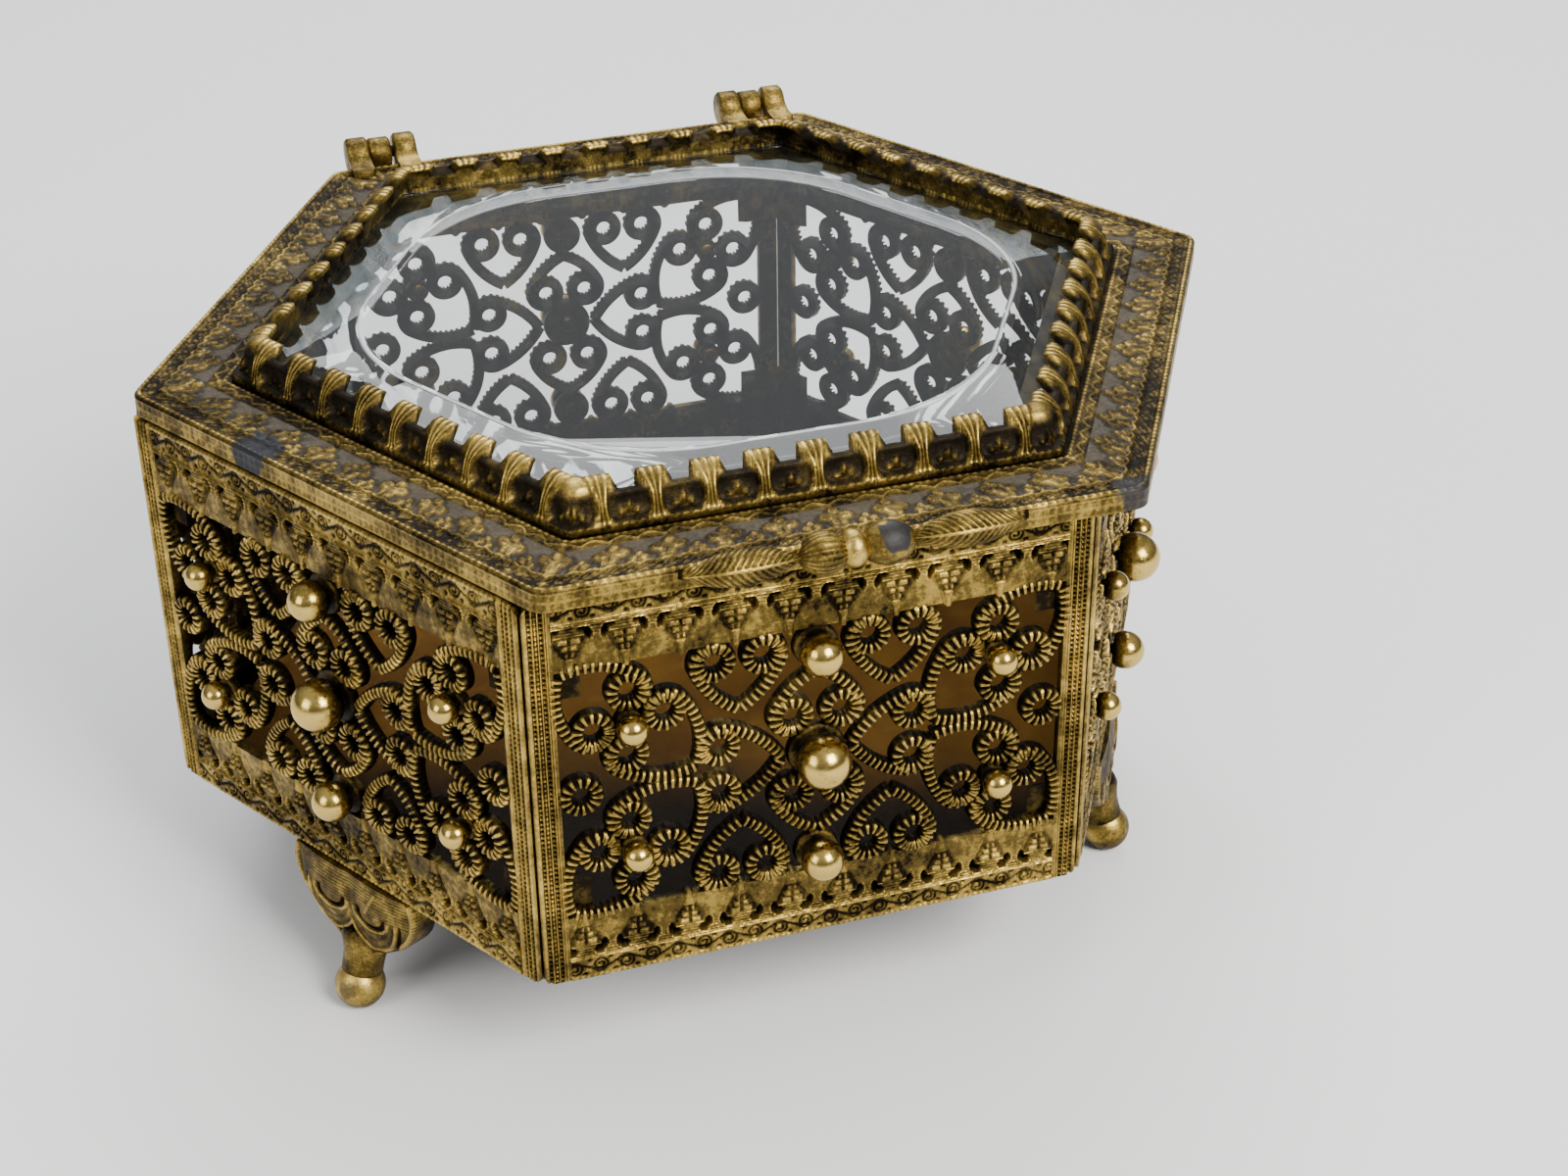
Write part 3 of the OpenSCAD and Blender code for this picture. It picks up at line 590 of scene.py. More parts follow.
def arc_points(centre, radius, start, turn, steps=40):
    """Points on an arc; radius may be a pair, to spiral from the first to the second."""
    angle = np.radians(start + np.linspace(0, turn, steps))
    r = np.linspace(radius[0], radius[1], steps) if np.ndim(radius) else radius
    return np.asarray(centre) + np.stack([r * np.cos(angle), r * np.sin(angle)], axis=1)


def add_curl(shell, centre):
    add_wire(shell, arc_points(centre, CURL_R, 0, 360, 49)[:-1], True)


def angle_of(v):
    return math.degrees(math.atan2(v[1], v[0]))


def turn_between(start, end):
    return (end - start + 540) % 360 - 180


def half_heart(shell, c, p, other, bend):
    """A curl at c, and the arc that leaves it round its far side and runs to the point p. The
    arc bulges away from the heart's other curl, and bend is its radius over its span."""
    span = np.linalg.norm(p - c)
    radius = bend * span
    to_curl = radius - CURL_R - ARC_WRAP
    along = (p - c) / span
    across = np.array([-along[1], along[0]])
    foot = (to_curl**2 - radius**2 + span**2) / (2 * span)
    rise = math.sqrt(to_curl**2 - foot**2)
    centres = [c + along * foot + s * across * rise for s in (1, -1)]
    centre = min(centres, key=lambda q: np.linalg.norm(q - other))
    start = angle_of(p - centre)
    turn = turn_between(start, angle_of(c - centre))
    run = arc_points(centre, radius, start, turn)
    wrap = math.copysign(WRAP_TURN, turn)
    curl = arc_points(c, (CURL_R + ARC_WRAP, CURL_R), start + turn, wrap, 30)
    add_wire(shell, np.concatenate([run, curl[1:]]), False, lower=0.12)
    add_curl(shell, c)


def heart(shell, first, second, p, bend):
    half_heart(shell, first, p, second, bend)
    half_heart(shell, second, p, first, bend)


def add_pad(shell, centre, radius):
    """The flat boss that carries a ball stud, kept dark as painted shade under its ball."""
    insets = np.array([[0.2, 0.0], [0.2, 0.75], [0.4, 1.05], [0.8, 1.15], [radius - 0.05, 1.15]])
    profile = insets * [-1, 1] + [radius, 0]
    add_lathe(shell, profile, (*centre, 0.0), (0, 0, 1), [0.0, 0.0, 0.22, 0.15, 0.0], 40)


def towards(angle):
    return np.array([np.cos(angle), np.sin(angle)])


def add_filigree(shell):
    """All the curled wires of a panel and the bosses under its ball studs."""
    crest_y = FIELD_Y - CURL_OUT + BITE
    clover_r = CURL_OUT + BALL_RADII["corner"] - BITE
    corner = np.array([FIELD_X, FIELD_Y]) - (WIRE_W / 2 - BITE)
    inward = SIDE_CURL + (CURL_OUT + WIRE_W / 2 - BITE) * towards(INWARD_ANGLE)
    for u in (1, -1):
        for v in (1, -1):
            flip = np.array([u, v])
            curls = [flip * [CREST_X + dx, crest_y] for dx in (-CREST_CURL, CREST_CURL)]
            heart(shell, *curls, flip * [CREST_X, crest_y - CREST_LENGTH], HEART_BEND)
            clover = [flip * (CORNER_STUD + clover_r * towards(a)) for a in CLOVER_ANGLES]
            heart(shell, clover[0], clover[1], flip * corner, CLOVER_BEND)
            heart(shell, clover[2], clover[3], flip * inward, CLOVER_BEND)
            add_pad(shell, flip * CORNER_STUD, BALL_RADII["corner"] + 0.05)
        point = np.array([u * (CENTRE_PAD_R + WIRE_W / 2 - BITE), 0.0])
        heart(shell, SIDE_CURL * [u, 1], SIDE_CURL * [u, -1], point, HEART_BEND)
        add_curl(shell, (u * (FIELD_X - CURL_OUT + BITE), 0))
    for v in (1, -1):
        point = np.array([0.0, v * (UPPER_STUD_Y - UPPER_PAD_R - BITE)])
        heart(shell, CENTRE_CURL * [1, v], CENTRE_CURL * [-1, v], point, HEART_BEND)
        add_pad(shell, (0, v * UPPER_STUD_Y), UPPER_PAD_R)
    add_pad(shell, (0, 0), CENTRE_PAD_R)


def vine(x, v, middle_v, swing, pitch):
    """Height from 0 to 1 of a running vine with a curl in each bend."""
    phase = 2 * np.pi * x / pitch
    stem = middle_v + swing * np.sin(phase)
    slope = swing * 2 * np.pi / pitch * np.cos(phase)
    out = bump_line((v - stem) / np.sqrt(1 + slope**2), 0.24)
    half = pitch / 2
    cell = np.floor(x / half)
    side = np.where(np.mod(cell, 2) == 0, 1.0, -1.0)
    dx = x - (cell + 0.5) * half
    dv = (v - middle_v) * side + 0.25 * swing
    r = np.hypot(dx, dv)
    swirl = (np.arctan2(dv, dx) + np.pi) / (2 * np.pi)
    for lap in (0.18, 0.66):
        out = np.maximum(out, 0.9 * bump_line(r - lap - 0.48 * swirl, 0.20) * ease(r, 1.20, 1.00))
    leaf = np.hypot((np.abs(dx) - 1.30) / 0.42, (dv + 0.80) / 0.30)
    return np.maximum(out, 0.85 * ease(leaf, 1.0, 0.6))


# Rows of small bricks in a border motif: half width, first and last distance from the edge
BRICK_ROWS = ((1.35, 4.95, 5.75), (1.00, 5.90, 6.62), (0.62, 6.76, 7.42))


def motif(dx, v):
    """Relief of one border motif; v is the distance from the panel's edge."""
    ax = np.abs(dx)
    mottle = np.sin(3.7 * dx + 1.9 * v) * np.sin(2.9 * v - 1.3 * dx)
    relief = Relief(1.16 + 0.03 * mottle, 0.43 + 0.07 * mottle)
    rules = ripple(v, 0.40) - 0.5
    relief.add(window(v, 3.35, 4.85, 0.1), 0.12 * rules, 0.42 * rules)
    body = 1.75 - 1.25 * ease(v, 5.2, 8.8)
    outline = bump_line(ax - body, 0.24) * ease(v, 5.0, 5.3)
    relief.add(outline, -0.16, -0.20 * ease(v, 8.0, 6.5))
    inside = ease(ax, body, body - 0.15) * window(v, 4.85, 7.6, 0.1)
    relief.add(inside, -0.10, -0.28)
    for half, low, high in BRICK_ROWS:
        relief.add(window(ax, 0.07, half, 0.16) * window(v, low, high, 0.18), 0.34, 0.42)
    tongue = ease(ax, body - 0.05, body - 0.3) * ease(v, 7.5, 7.8)
    relief.add(tongue, 0.16, 0.16)
    ear_x, ear_v = ax - 1.62, v - 4.72
    ear_r = np.hypot(ear_x / 0.92, ear_v)
    outward = ease(ear_x * 0.75 - ear_v * 0.66, -0.15, 0.25)
    relief.add(bump_line(ear_r - 0.66, 0.52) * outward, -1.0, -relief.wear)
    relief.add(bump_line(ear_r - 1.24, 0.22) * outward, 0.12, 0.28)
    return relief


# How far out from a panel's inner face its cast edges are level
EDGE_T = 0.95
# Beaded and plain lines along the border and up the stile: distance from the edge, half width
BORDER_LINES = ((2.98, 0.17), (3.30, 0.13))
STILE_LINES = ((0.34, 0.30), (1.14, 0.15), (1.46, 0.15), (1.78, 0.15), (2.42, 0.15), (2.76, 0.15))
STILE_DOTS = (0.80, 1.46, 2.10)
STILE_CORNER_R = 1.5


def add_border(shell, sign):
    """The band along a panel's upper (1) or lower (-1) edge."""
    v, x = grid(np.linspace(1, 0, 62), np.linspace(-FIELD_X - 0.02, FIELD_X + 0.02, 440))
    dx = np.mod(x, MOTIF_PITCH) - MOTIF_PITCH / 2
    tip = 0.42 * ease(np.abs(dx), 0.75, 0.15)
    v = v * (PANEL_H / 2 - FIELD_Y + tip)
    relief = motif(dx, v)
    curls = vine(x, v, 1.62, 0.52, MOTIF_PITCH)
    relief.replace(ease(v, 2.90, 2.80), 1.24 - 0.24 * curls, 0.60 - 0.58 * curls)
    for at, size in BORDER_LINES:
        relief.replace(bump_line(v - at, size), 1.36, 0.78)
    beads = ripple(x, 0.72)
    relief.replace(bump_line(v - 0.34, 0.30), 1.30 + 0.10 * beads, 0.62 + 0.40 * beads)
    height = EDGE_T + (relief.height - EDGE_T) * ease(v, 0.0, 0.14)
    add_slab(shell, x, PANEL_H / 2 - v, height, relief.wear, mirror=(1, sign))


def add_stile(shell, sign):
    """The ribbed upright at a panel's right (1) or left (-1) end."""
    y, share = grid(np.linspace(-PANEL_H / 2, PANEL_H / 2, 400), np.linspace(0, 1, 34))
    from_end = PANEL_H / 2 - np.abs(y)
    corner = np.clip(STILE_CORNER_R - from_end, 0, STILE_CORNER_R)
    outer = PANEL_HALF_W - (STILE_CORNER_R - np.sqrt(STILE_CORNER_R**2 - corner**2))
    x = FIELD_X + share * (outer - FIELD_X)
    w = PANEL_HALF_W - x
    relief = Relief(1.12, 0.56)
    for at, size in STILE_LINES:
        relief.add(bump_line(w - at, size), 0.16, 0.26)
    for at in STILE_DOTS:
        relief.add(bump_line(w - at, 0.26) * ripple(y, 0.64), -0.42, -0.60)
    height = EDGE_T + (relief.height - EDGE_T) * ease(w, 0.0, 0.12) * ease(from_end, 0.0, 0.2)
    add_slab(shell, x, y, height, relief.wear, mirror=(sign, 1), tuck=PANEL_INNER_HALF_W)


def build_panels():
    borders = Shell()
    for sign in (1, -1):
        add_border(borders, sign)
        add_stile(borders, sign)
    wires = Shell()
    add_filigree(wires)
    for k in range(len(SIDES)):
        borders.build_on_side(k, "panel_border", "panel", CAST)
        wires.build_on_side(k, "filigree", "panel", CAST)


def build_studs():
    """Ball studs, each with its rivet head inside the box."""
    shell = Shell()
    places = [((0, 0), "centre")]
    places += [((0, v * UPPER_STUD_Y), "upper") for v in (1, -1)]
    places += [(CORNER_STUD * [u, v], "corner") for u in (1, -1) for v in (1, -1)]
    sink = math.degrees(math.asin(1 - BALL_SINK))
    for (x, y), size in places:
        r = BALL_RADII[size]
        profile = ball_profile(r, -sink, steps=22)
        rise = profile[:, 1] / r
        # Rubbed bright at the crown and darker towards the boss: partly grime round the base, partly
        # painted shade standing in for the dark reflections low on the ball.
        wear = 0.05 + 0.60 * ease(rise, -0.62, 0.15) + 0.30 * ease(rise, 0.1, 0.9)
        add_lathe(shell, profile, (x, y, WIRE_T + r * (1 - BALL_SINK)), (0, 0, 1), wear, 44)
        neck = np.array([[0.7, 0.0], [0.7, WIRE_T + 0.4]])
        add_lathe(shell, neck, (x, y, 0), (0, 0, 1), 0.0, 16)
        head = np.array([[0.3, -0.4], [0.9, -0.38], [1.15, -0.2], [1.2, 0.0], [0.3, 0.0]])
        add_lathe(shell, head, (x, y, 0), (0, 0, 1), 0.1, 24)
    for k in range(len(SIDES)):
        shell.build_on_side(k, "ball_studs", "studs", BALLS)


# ---- Rings that follow the lid's six sides ----


def half_side(reach, corner_r):
    """From the middle of a rounded side to the middle of its corner."""
    return (reach - corner_r) / ROOT_3 + corner_r * math.pi / 6


def hexagon_loop(reach, corner_r, at):
    """Points round a hexagon with rounded corners, and their outward normals. at holds places
    along each side from its middle, from one corner's middle up to, but not at, the next."""
    straight = (reach - corner_r) / ROOT_3
    bend = np.clip(np.abs(at) - straight, 0, None) / max(corner_r, 1e-6) * np.sign(at)
    flat = np.clip(at, -straight, straight)
    x = flat + corner_r * np.sin(bend)
    y = -(reach - corner_r) - corner_r * np.cos(bend)
    side = np.stack([x, y, np.zeros_like(x)], axis=1)
    outward = np.stack([np.sin(bend), -np.cos(bend), np.zeros_like(x)], axis=1)
    points = np.concatenate([turned(side, 60 * k) for k in range(6)])
    normals = np.concatenate([turned(outward, 60 * k) for k in range(6)])
    return points, normals


def even_places(reach, corner_r, columns):
    return half_side(reach, corner_r) * np.linspace(-1, 1, columns, endpoint=False)


def level_loop(reach, z, corner_r, columns):
    """Evenly spaced points round a hexagon at one height."""
    points, _ = hexagon_loop(reach, corner_r, even_places(reach, corner_r, columns))
    points[:, 2] = z
    return points


def add_ring(shell, loops, tones):
    """A closed ring through loops of as many points each; the last joins the first."""
    faces = grid_faces(len(loops), len(loops[0]), True, True)
    shell.add(np.concatenate(loops), [faces], np.concatenate(tones))


# ---- Lid rim ----

RIM_COLUMNS = 262
RIM_CORNER_R = 2.5
LEDGE_Z = -1.2
UNDER_Z = -2.6
FLOWERS_PER_SIDE = 10
BEAD_PITCH = 0.95
# Reach of the rim's lines and bands of pattern, from its outer edge inwards
BEADS_REACH = 60.15
SCROLL_BAND = (57.95, 59.80)
WAVY_LINE = 57.62
FLOWER_REACH = 55.35
ARCH_BAND = (51.45, 52.95)
DOTS_REACH = 51.10
# Section of the rim from the opening out along its under side: reach, height, corner radius
RIM_INSIDE = (
    (OPENING_REACH, LEDGE_Z, 0.5), (RIM_IN, LEDGE_Z, 0.5), (RIM_IN, UNDER_Z, 0.5),
    (60.3, UNDER_Z, 2.2),
)
# Heights of the rows on the rim's outer face, and the reach of those on its upper face
LIP_ROWS = (-2.48, -2.3, -2.1, -1.85, -1.6, -1.42, -1.3, -1.1, -0.85, -0.6, -0.4, -0.28)
UPPER_ROWS = np.concatenate([
    [60.58, 60.46, 60.30, 60.15, 60.0, 59.88],
    np.linspace(59.75, 57.9, 8),
    np.linspace(57.72, 53.0, 20),
    np.linspace(52.85, 50.4, 11),
])


def flower_depth(dx, dr):
    """How far inside a small flower's outline a point lies; dr grows towards the lid's edge."""
    lobes = 0.92 - np.hypot(np.abs(dx) - 1.15, dr + 0.15)
    knob = 0.72 - np.hypot(dx, dr + 1.35)
    tail = np.minimum(1.10 - 0.20 * np.abs(dr - 0.8) - np.abs(dx), 1.95 - dr)
    tail = np.minimum(tail, dr + 0.5)
    return np.maximum(np.maximum(lobes, knob), tail)


def bud_depth(dx, dr):
    """The same for the three-leaved bud that stands between two flowers."""
    leaves = 0.62 - np.hypot(np.abs(dx) - 0.62, dr - 1.45)
    tip = 0.50 - np.hypot(dx, dr - 0.55)
    return np.maximum(leaves, tip)


def lip_relief(z, along):
    """How far the rim's outer face is cut in, and its rubbing: two rows of short strokes."""
    upper = window(z, -1.25, -0.35, 0.18)
    lower = window(z, -2.30, -1.40, 0.18)
    strokes = (upper + lower) * ripple(along + 0.6 * np.sin(along / 7), BEAD_PITCH)
    lines = ripple(z + 0.05 * np.sin(along / 3), 0.42)
    cut = max(upper, lower)
    return 0.10 * (cut - strokes) + 0.03 * lines, 0.62 - 0.26 * cut + 0.22 * strokes + 0.06 * lines


def rim_relief(reach, along):
    """Height and tones of the rim's upper face, at places along a side at one reach."""
    side = half_side(reach, 1.5)
    relief = Relief(0.0, 0.22)
    beads = ripple(along, BEAD_PITCH)
    relief.add(bump_line(reach - BEADS_REACH, 0.42), 0.16 + 0.10 * beads, 0.22 + 0.40 * beads)
    curls = vine(along, 61.0 - reach, 2.1, 0.45, MOTIF_PITCH / 2)
    relief.add(window(reach, *SCROLL_BAND, 0.15), -0.16 * curls, 0.20 - 0.42 * curls)
    edge = WAVY_LINE + 0.16 * np.cos(2 * np.pi * along / (MOTIF_PITCH / 3))
    relief.add(bump_line(reach - edge, 0.30), 0.16, 0.34)
    ground = ease(reach, edge - 0.18, edge - 0.34) * (reach > ARCH_BAND[1])
    pitch = 2 * side / FLOWERS_PER_SIDE
    dx = np.mod(along + pitch / 2, pitch) - pitch / 2
    dr = reach - FLOWER_REACH
    depth = np.maximum(flower_depth(dx, dr), bud_depth(np.abs(dx) - pitch / 2, dr))
    flower = ease(depth, -0.05, 0.22)
    ribs = ripple(dr, 0.5) * ease(dr, 0.2, 0.4)
    rubbed = 0.05 + 0.42 * bump_line(depth - 0.16, 0.26) + 0.16 * ribs
    rubbed -= 0.22 * bump_line(dx, 0.20) * ease(dr, 0.2, 0.5)
    outline = bump_line(depth + 0.22, 0.30)
    relief.add(ground, 0.34 * flower - 0.10, flower * rubbed - 0.30 * outline * (1 - flower))
    grime = ground * (1 - flower) * (0.95 - 0.55 * outline)
    arch_r = 52.75 - 0.95 * np.abs(np.sin(np.pi * along / (MOTIF_PITCH / 2)))
    arch = bump_line(reach - arch_r, 0.34)
    relief.add(window(reach, *ARCH_BAND, 0.12), 0.20 * arch, 0.34 * arch - 0.04)
    relief.add(bump_line(reach - DOTS_REACH, 0.34), 0.08 + 0.12 * beads, 0.12 + 0.40 * beads)
    # A small step down beside the gallery's foot, darkened as a painted shadow line.
    relief.add(reach < 50.8, -0.10, -0.30)
    mitre = ease(side - np.abs(along), 0.55, 0.15) * (reach > 51.0)
    relief.add(mitre, 0.08, 0.18)
    return relief.height, tones_of(relief.wear, grime * (1 - 0.6 * mitre))


def build_lid_rim():
    loops = []
    tones = []
    for reach, z, corner_r in RIM_INSIDE:
        loops.append(level_loop(reach, z, corner_r, RIM_COLUMNS))
        tones.append(tones_of(np.full(len(loops[0]), 0.25), 0.2))
    at = even_places(LID_REACH, RIM_CORNER_R, RIM_COLUMNS)
    points, outward = hexagon_loop(LID_REACH, RIM_CORNER_R, at)
    for z in LIP_ROWS:
        cut, wear = lip_relief(z, np.tile(at, 6))
        loops.append(points - outward * cut[:, None] + [0, 0, z])
        tones.append(tones_of(wear))
    for reach in UPPER_ROWS:
        corner_r = np.interp(reach, [50.4, 60.6], [1.4, RIM_CORNER_R])
        height, tone = rim_relief(reach, np.tile(even_places(reach, corner_r, RIM_COLUMNS), 6))
        rounding = 0.14 * ease(reach, 60.35, 60.60)
        loops.append(level_loop(reach, height - rounding, corner_r, RIM_COLUMNS))
        tones.append(tone)
    loops.append(level_loop(OPENING_REACH, 0.0, 0.5, RIM_COLUMNS))
    tones.append(tones_of(np.full(len(loops[0]), 0.2), 0.3))
    shell = Shell()
    add_ring(shell, loops, tones)
    shell.blacken([-57.6, -18.5, 0], [3.0, 3.9, 4.0], 1.0)
    shell.blacken([33.8, -59.6, 0], [2.6, 2.2, 4.0], 0.9)
    shell.placed(on_lid).build("lid_rim_casting", "lid_rim", "lid", CAST)


# ---- Gallery that holds the glass ----

# Distance from the middle of a side to the end of its last strap, and to where the columns
# of the corner begin
LAST_STRAP = 24.8
CORNER_START = 25.6
GALLERY_CORNER_R = 1.2
CROWN_Z = 4.4
# Rows of the gallery's section from its foot up over the crown and down inside: where it
# passes on a strap (reach, z), where in a pocket (reach, z), and a strap's half width there
GALLERY_ROWS = (
    (50.30, 0.00, 50.30, 0.00, 1.20), (50.35, 0.18, 50.35, 0.18, 1.20), (50.35, 0.50, 50.35, 0.50, 1.20),
    (50.28, 0.78, 50.28, 0.78, 1.20), (50.05, 0.95, 49.95, 0.92, 1.20), (49.98, 1.10, 49.55, 0.98, 1.15),
    (49.93, 1.35, 49.20, 1.05, 1.02), (49.88, 1.65, 49.00, 1.25, 0.90), (49.80, 2.00, 48.90, 1.60, 0.80),
    (49.70, 2.40, 48.82, 2.00, 0.74), (49.58, 2.80, 48.76, 2.40, 0.72), (49.42, 3.20, 48.72, 2.80, 0.76),
    (49.20, 3.58, 48.72, 3.10, 0.86), (48.92, 3.95, 48.76, 3.35, 1.02), (48.58, 4.30, 48.80, 3.60, 1.22),
    (48.20, 4.60, 48.72, 3.80, 1.45), (47.80, 4.85, 48.50, 3.92, 1.66), (47.35, 5.03, 48.25, 3.96, 1.82),
    (46.90, 5.12, 48.02, 3.92, 1.90), (46.50, 5.12, 47.85, 3.80, 1.88), (46.18, 5.02, 47.72, 3.62, 1.72),
    (45.98, 4.85, 47.62, 3.42, 1.50), (45.92, 4.62, 47.56, 3.20, 1.30), (46.05, 4.42, 47.52, 3.00, 1.25),
    (46.50, 4.25, 47.48, 2.80, 1.25), (47.10, 4.00, 47.46, 2.60, 1.25), (47.45, 3.40, 47.45, 2.40, 1.25),
    (47.45, 1.45, 47.45, 1.45, 1.25), (47.86, 1.42, 47.86, 1.42, 1.25), (47.86, 0.00, 47.86, 0.00, 1.25),
)


def gallery_places(reach):
    """Columns along one side, closest together on the straps, then round half a corner."""
    steps = np.arange(-CORNER_START, CORNER_START, GALLERY_PITCH / 30)
    share = steps / GALLERY_PITCH
    inner = GALLERY_PITCH * (share - 0.55 * np.sin(2 * np.pi * share) / (2 * np.pi))
    inner = inner[np.abs(inner) < CORNER_START]
    corner = np.linspace(CORNER_START, half_side(reach, GALLERY_CORNER_R), 16)
    return np.concatenate([-corner[::-1], inner, corner[:-1]])


def trefoil(dx, z):
    """Height of the small ornament in a pocket: a tall lobe between two low ones."""
    tall = 1 - np.hypot(dx / 0.50, (z - 2.0) / 0.85)
    low = 1 - np.hypot((np.abs(dx) - 0.88) / 0.42, (z - 1.50) / 0.50)
    return np.clip(np.maximum(tall, 0.8 * low), 0, None) ** 0.5


def gallery_loop(strap_reach, strap_z, pocket_reach, pocket_z, half):
    """One row of the gallery's section, run round the six sides, and its tones."""
    at = gallery_places(strap_reach)
    dx = np.mod(at + GALLERY_PITCH / 2, GALLERY_PITCH) - GALLERY_PITCH / 2
    crown = strap_z > CROWN_Z
    strap = ease(np.abs(dx), half + 0.16, half - 0.16) * (np.abs(at) < CORNER_START + 1.5)
    if crown:
        strap = np.maximum(strap, ease(np.abs(at), LAST_STRAP, LAST_STRAP + 0.3))
    ribbed = strap_z > 0.9 and pocket_reach > 47.5
    ribs = np.cos(4 * np.pi * dx / half) * ease(np.abs(dx), half, 0.7 * half)
    ornament = trefoil(GALLERY_PITCH / 2 - np.abs(dx), pocket_z) * (1 - strap)
    ornament = ornament * (pocket_z > 0.95 and not crown)
    foot = window(strap_z, 0.10, 0.98, 0.2)
    teeth = ripple(at, 1.0)
    reach = strap * strap_reach + (1 - strap) * pocket_reach + 0.55 * ornament
    reach += 0.14 * foot * (teeth - 0.7) + 0.07 * ribs * strap * ribbed
    z = strap * strap_z + (1 - strap) * pocket_z
    z += 0.06 * ribs * strap * (ribbed and strap_z > 3.9)
    loop, outward = hexagon_loop(strap_reach, GALLERY_CORNER_R, at)
    loop = loop + outward * np.tile(reach - strap_reach, 6)[:, None]
    loop[:, 2] = np.tile(z, 6)
    if not ribbed:
        return loop, tones_of(np.full(len(loop), 0.26))
    wear = strap * (0.58 + 0.36 * ribs) + (1 - strap) * 0.02 + 0.50 * ornament
    wear += 0.22 * ease(np.abs(strap_z - 4.9), 0.5, 0.1) * strap
    wear = wear * (1 - foot) + foot * (0.22 + 0.50 * teeth)
    grime = 0.22 * (1 - strap) * (1 - foot) * (1 - ease(ornament, 0.1, 0.4))
    return loop, tones_of(np.tile(wear, 6), np.tile(grime, 6))


def build_gallery():
    shell = Shell()
    add_ring(shell, *zip(*(gallery_loop(*row) for row in GALLERY_ROWS)))
    shell.placed(on_lid).build("gallery_straps", "glass_gallery", "lid", CAST)


# ---- Glass pane and velvet lining ----

PANE_COLUMNS = 120
BEVEL_IN = PANE_REACH - BEVEL_W
# Section of the pane from its under side out and up, then over the bevel: reach, height,
# corner radius, whether it is ground, and whether it lies on the bevel's inner line
PANE_ROWS = (
    (47.2, 0.0, 0.3, 0, 0), (47.55, 0.05, 0.35, 0, 0), (47.58, 0.9, 0.35, 0, 0),
    (47.45, PANE_EDGE_T, 0.5, 1, 0), (46.0, 1.22, 4.5, 1, 0), (44.5, 1.53, 9.5, 1, 0),
    (43.0, 1.83, 14.5, 1, 0), (41.5, 2.13, 19.5, 1, 0), (BEVEL_IN + 0.32, 2.45, 24.9, 0, 0),
    (BEVEL_IN + 0.08, 2.53, 25.6, 0, 1), (BEVEL_IN - 0.3, 2.58, 26.3, 0, 0),
    (BEVEL_IN - 0.5, 2.58, 26.4, 0, 0),
)
LINING_COLUMNS = 60
LINING_TOP = 1.28
# Section of the lining's edge, from its under side up
LINING_EDGE = (
    (LINING_REACH - 0.1, 0.0), (LINING_REACH, 0.3), (LINING_REACH - 0.05, 0.9), (55.1, 1.2),
    (54.5, LINING_TOP),
)


def build_glass():
    """Pane with a ground bevel whose inner line is a hexagon with very round corners."""
    loops = []
    tones = []
    for reach, z, corner_r, ground, line in PANE_ROWS:
        loops.append(level_loop(reach, z, corner_r, PANE_COLUMNS))
        tones.append(tones_of(np.full(len(loops[0]), ground), line))
    shell = Shell()
    add_tube(shell, loops, tones)
    shell.placed(on_lid).build("bevelled_pane", "glass_pane", "lid", PLATE_GLASS, sharp=6)


def build_lining():
    """Velvet laid on the floor: amber, with a painted reflection haze at the back and painted shade, near
    black, towards the front.
    """
    loops = []
    tones = []
    inner = [(reach, LINING_TOP) for reach in np.linspace(53.2, 1.0, 42)]
    for reach, z in [*LINING_EDGE, *inner]:
        corner_r = np.interp(reach, [1.0, 20.0, 55.0], [0.5, 6.0, 2.0])
        points = level_loop(reach, z, corner_r, LINING_COLUMNS)
        x, y = points[:, 0], points[:, 1]
        crush = 0.05 * np.sin(0.31 * x + 0.12 * y) + 0.04 * np.sin(0.11 * x - 0.43 * y)
        points[:, 2] += (z == LINING_TOP) * np.minimum(crush, 0.09)
        shade = 0.25 * np.sin(0.09 * x + 0.4) + 0.2 * np.sin(0.13 * y + 0.07 * x)
        # Painted reflection haze towards the back, with a wavy front edge.
        painted_reflection_haze = ease(y + 14 * shade, 22, 48)
        # Painted shade towards the front, slightly to the left.
        painted_shade = 0.97 * ease(-0.35 * x - 0.94 * y, 12.0, 36.0)
        loops.append(points)
        tones.append(tones_of(painted_reflection_haze, painted_shade))
    shell = Shell()
    add_tube(shell, loops, tones)
    lining = shell.placed(lambda points: points + [*BOX_XY, face("floor_lining", 2, 0)])
    cloth = lining.build("velvet_lining", "floor_lining", "box", AMBER_VELVET)


# ---- Feet ----

# Half width of a foot's shield, from its top down, in millimetres below the panel
SHIELD_OUTLINE = np.array([
    [0.0, 10.6], [1.0, 11.0], [2.2, 11.2], [4.0, 10.95], [5.5, 10.3], [7.0, 9.2],
    [8.2, 7.9], [9.2, 6.5], [10.0, 5.2], [10.6, 4.3], [11.3, 3.3], [12.4, 2.4],
])
# Middle of the lobe on either side, from the foot's own middle and from the panel's edge
LOBE_X = 3.75
LOBE_Y = -4.5
NECK_TOP_Y = -8.8
# Section of a neck, from inside the ball up: radius, distance from the ball's middle, rubbing
NECK_ROWS = (
    (1.9, 0.0, 0.1), (2.6, 2.0, 0.2), (2.62, 3.2, 0.35), (2.70, 4.4, 0.45), (2.95, 5.6, 0.5),
    (3.25, 6.6, 0.5), (3.1, 7.6, 0.3),
)


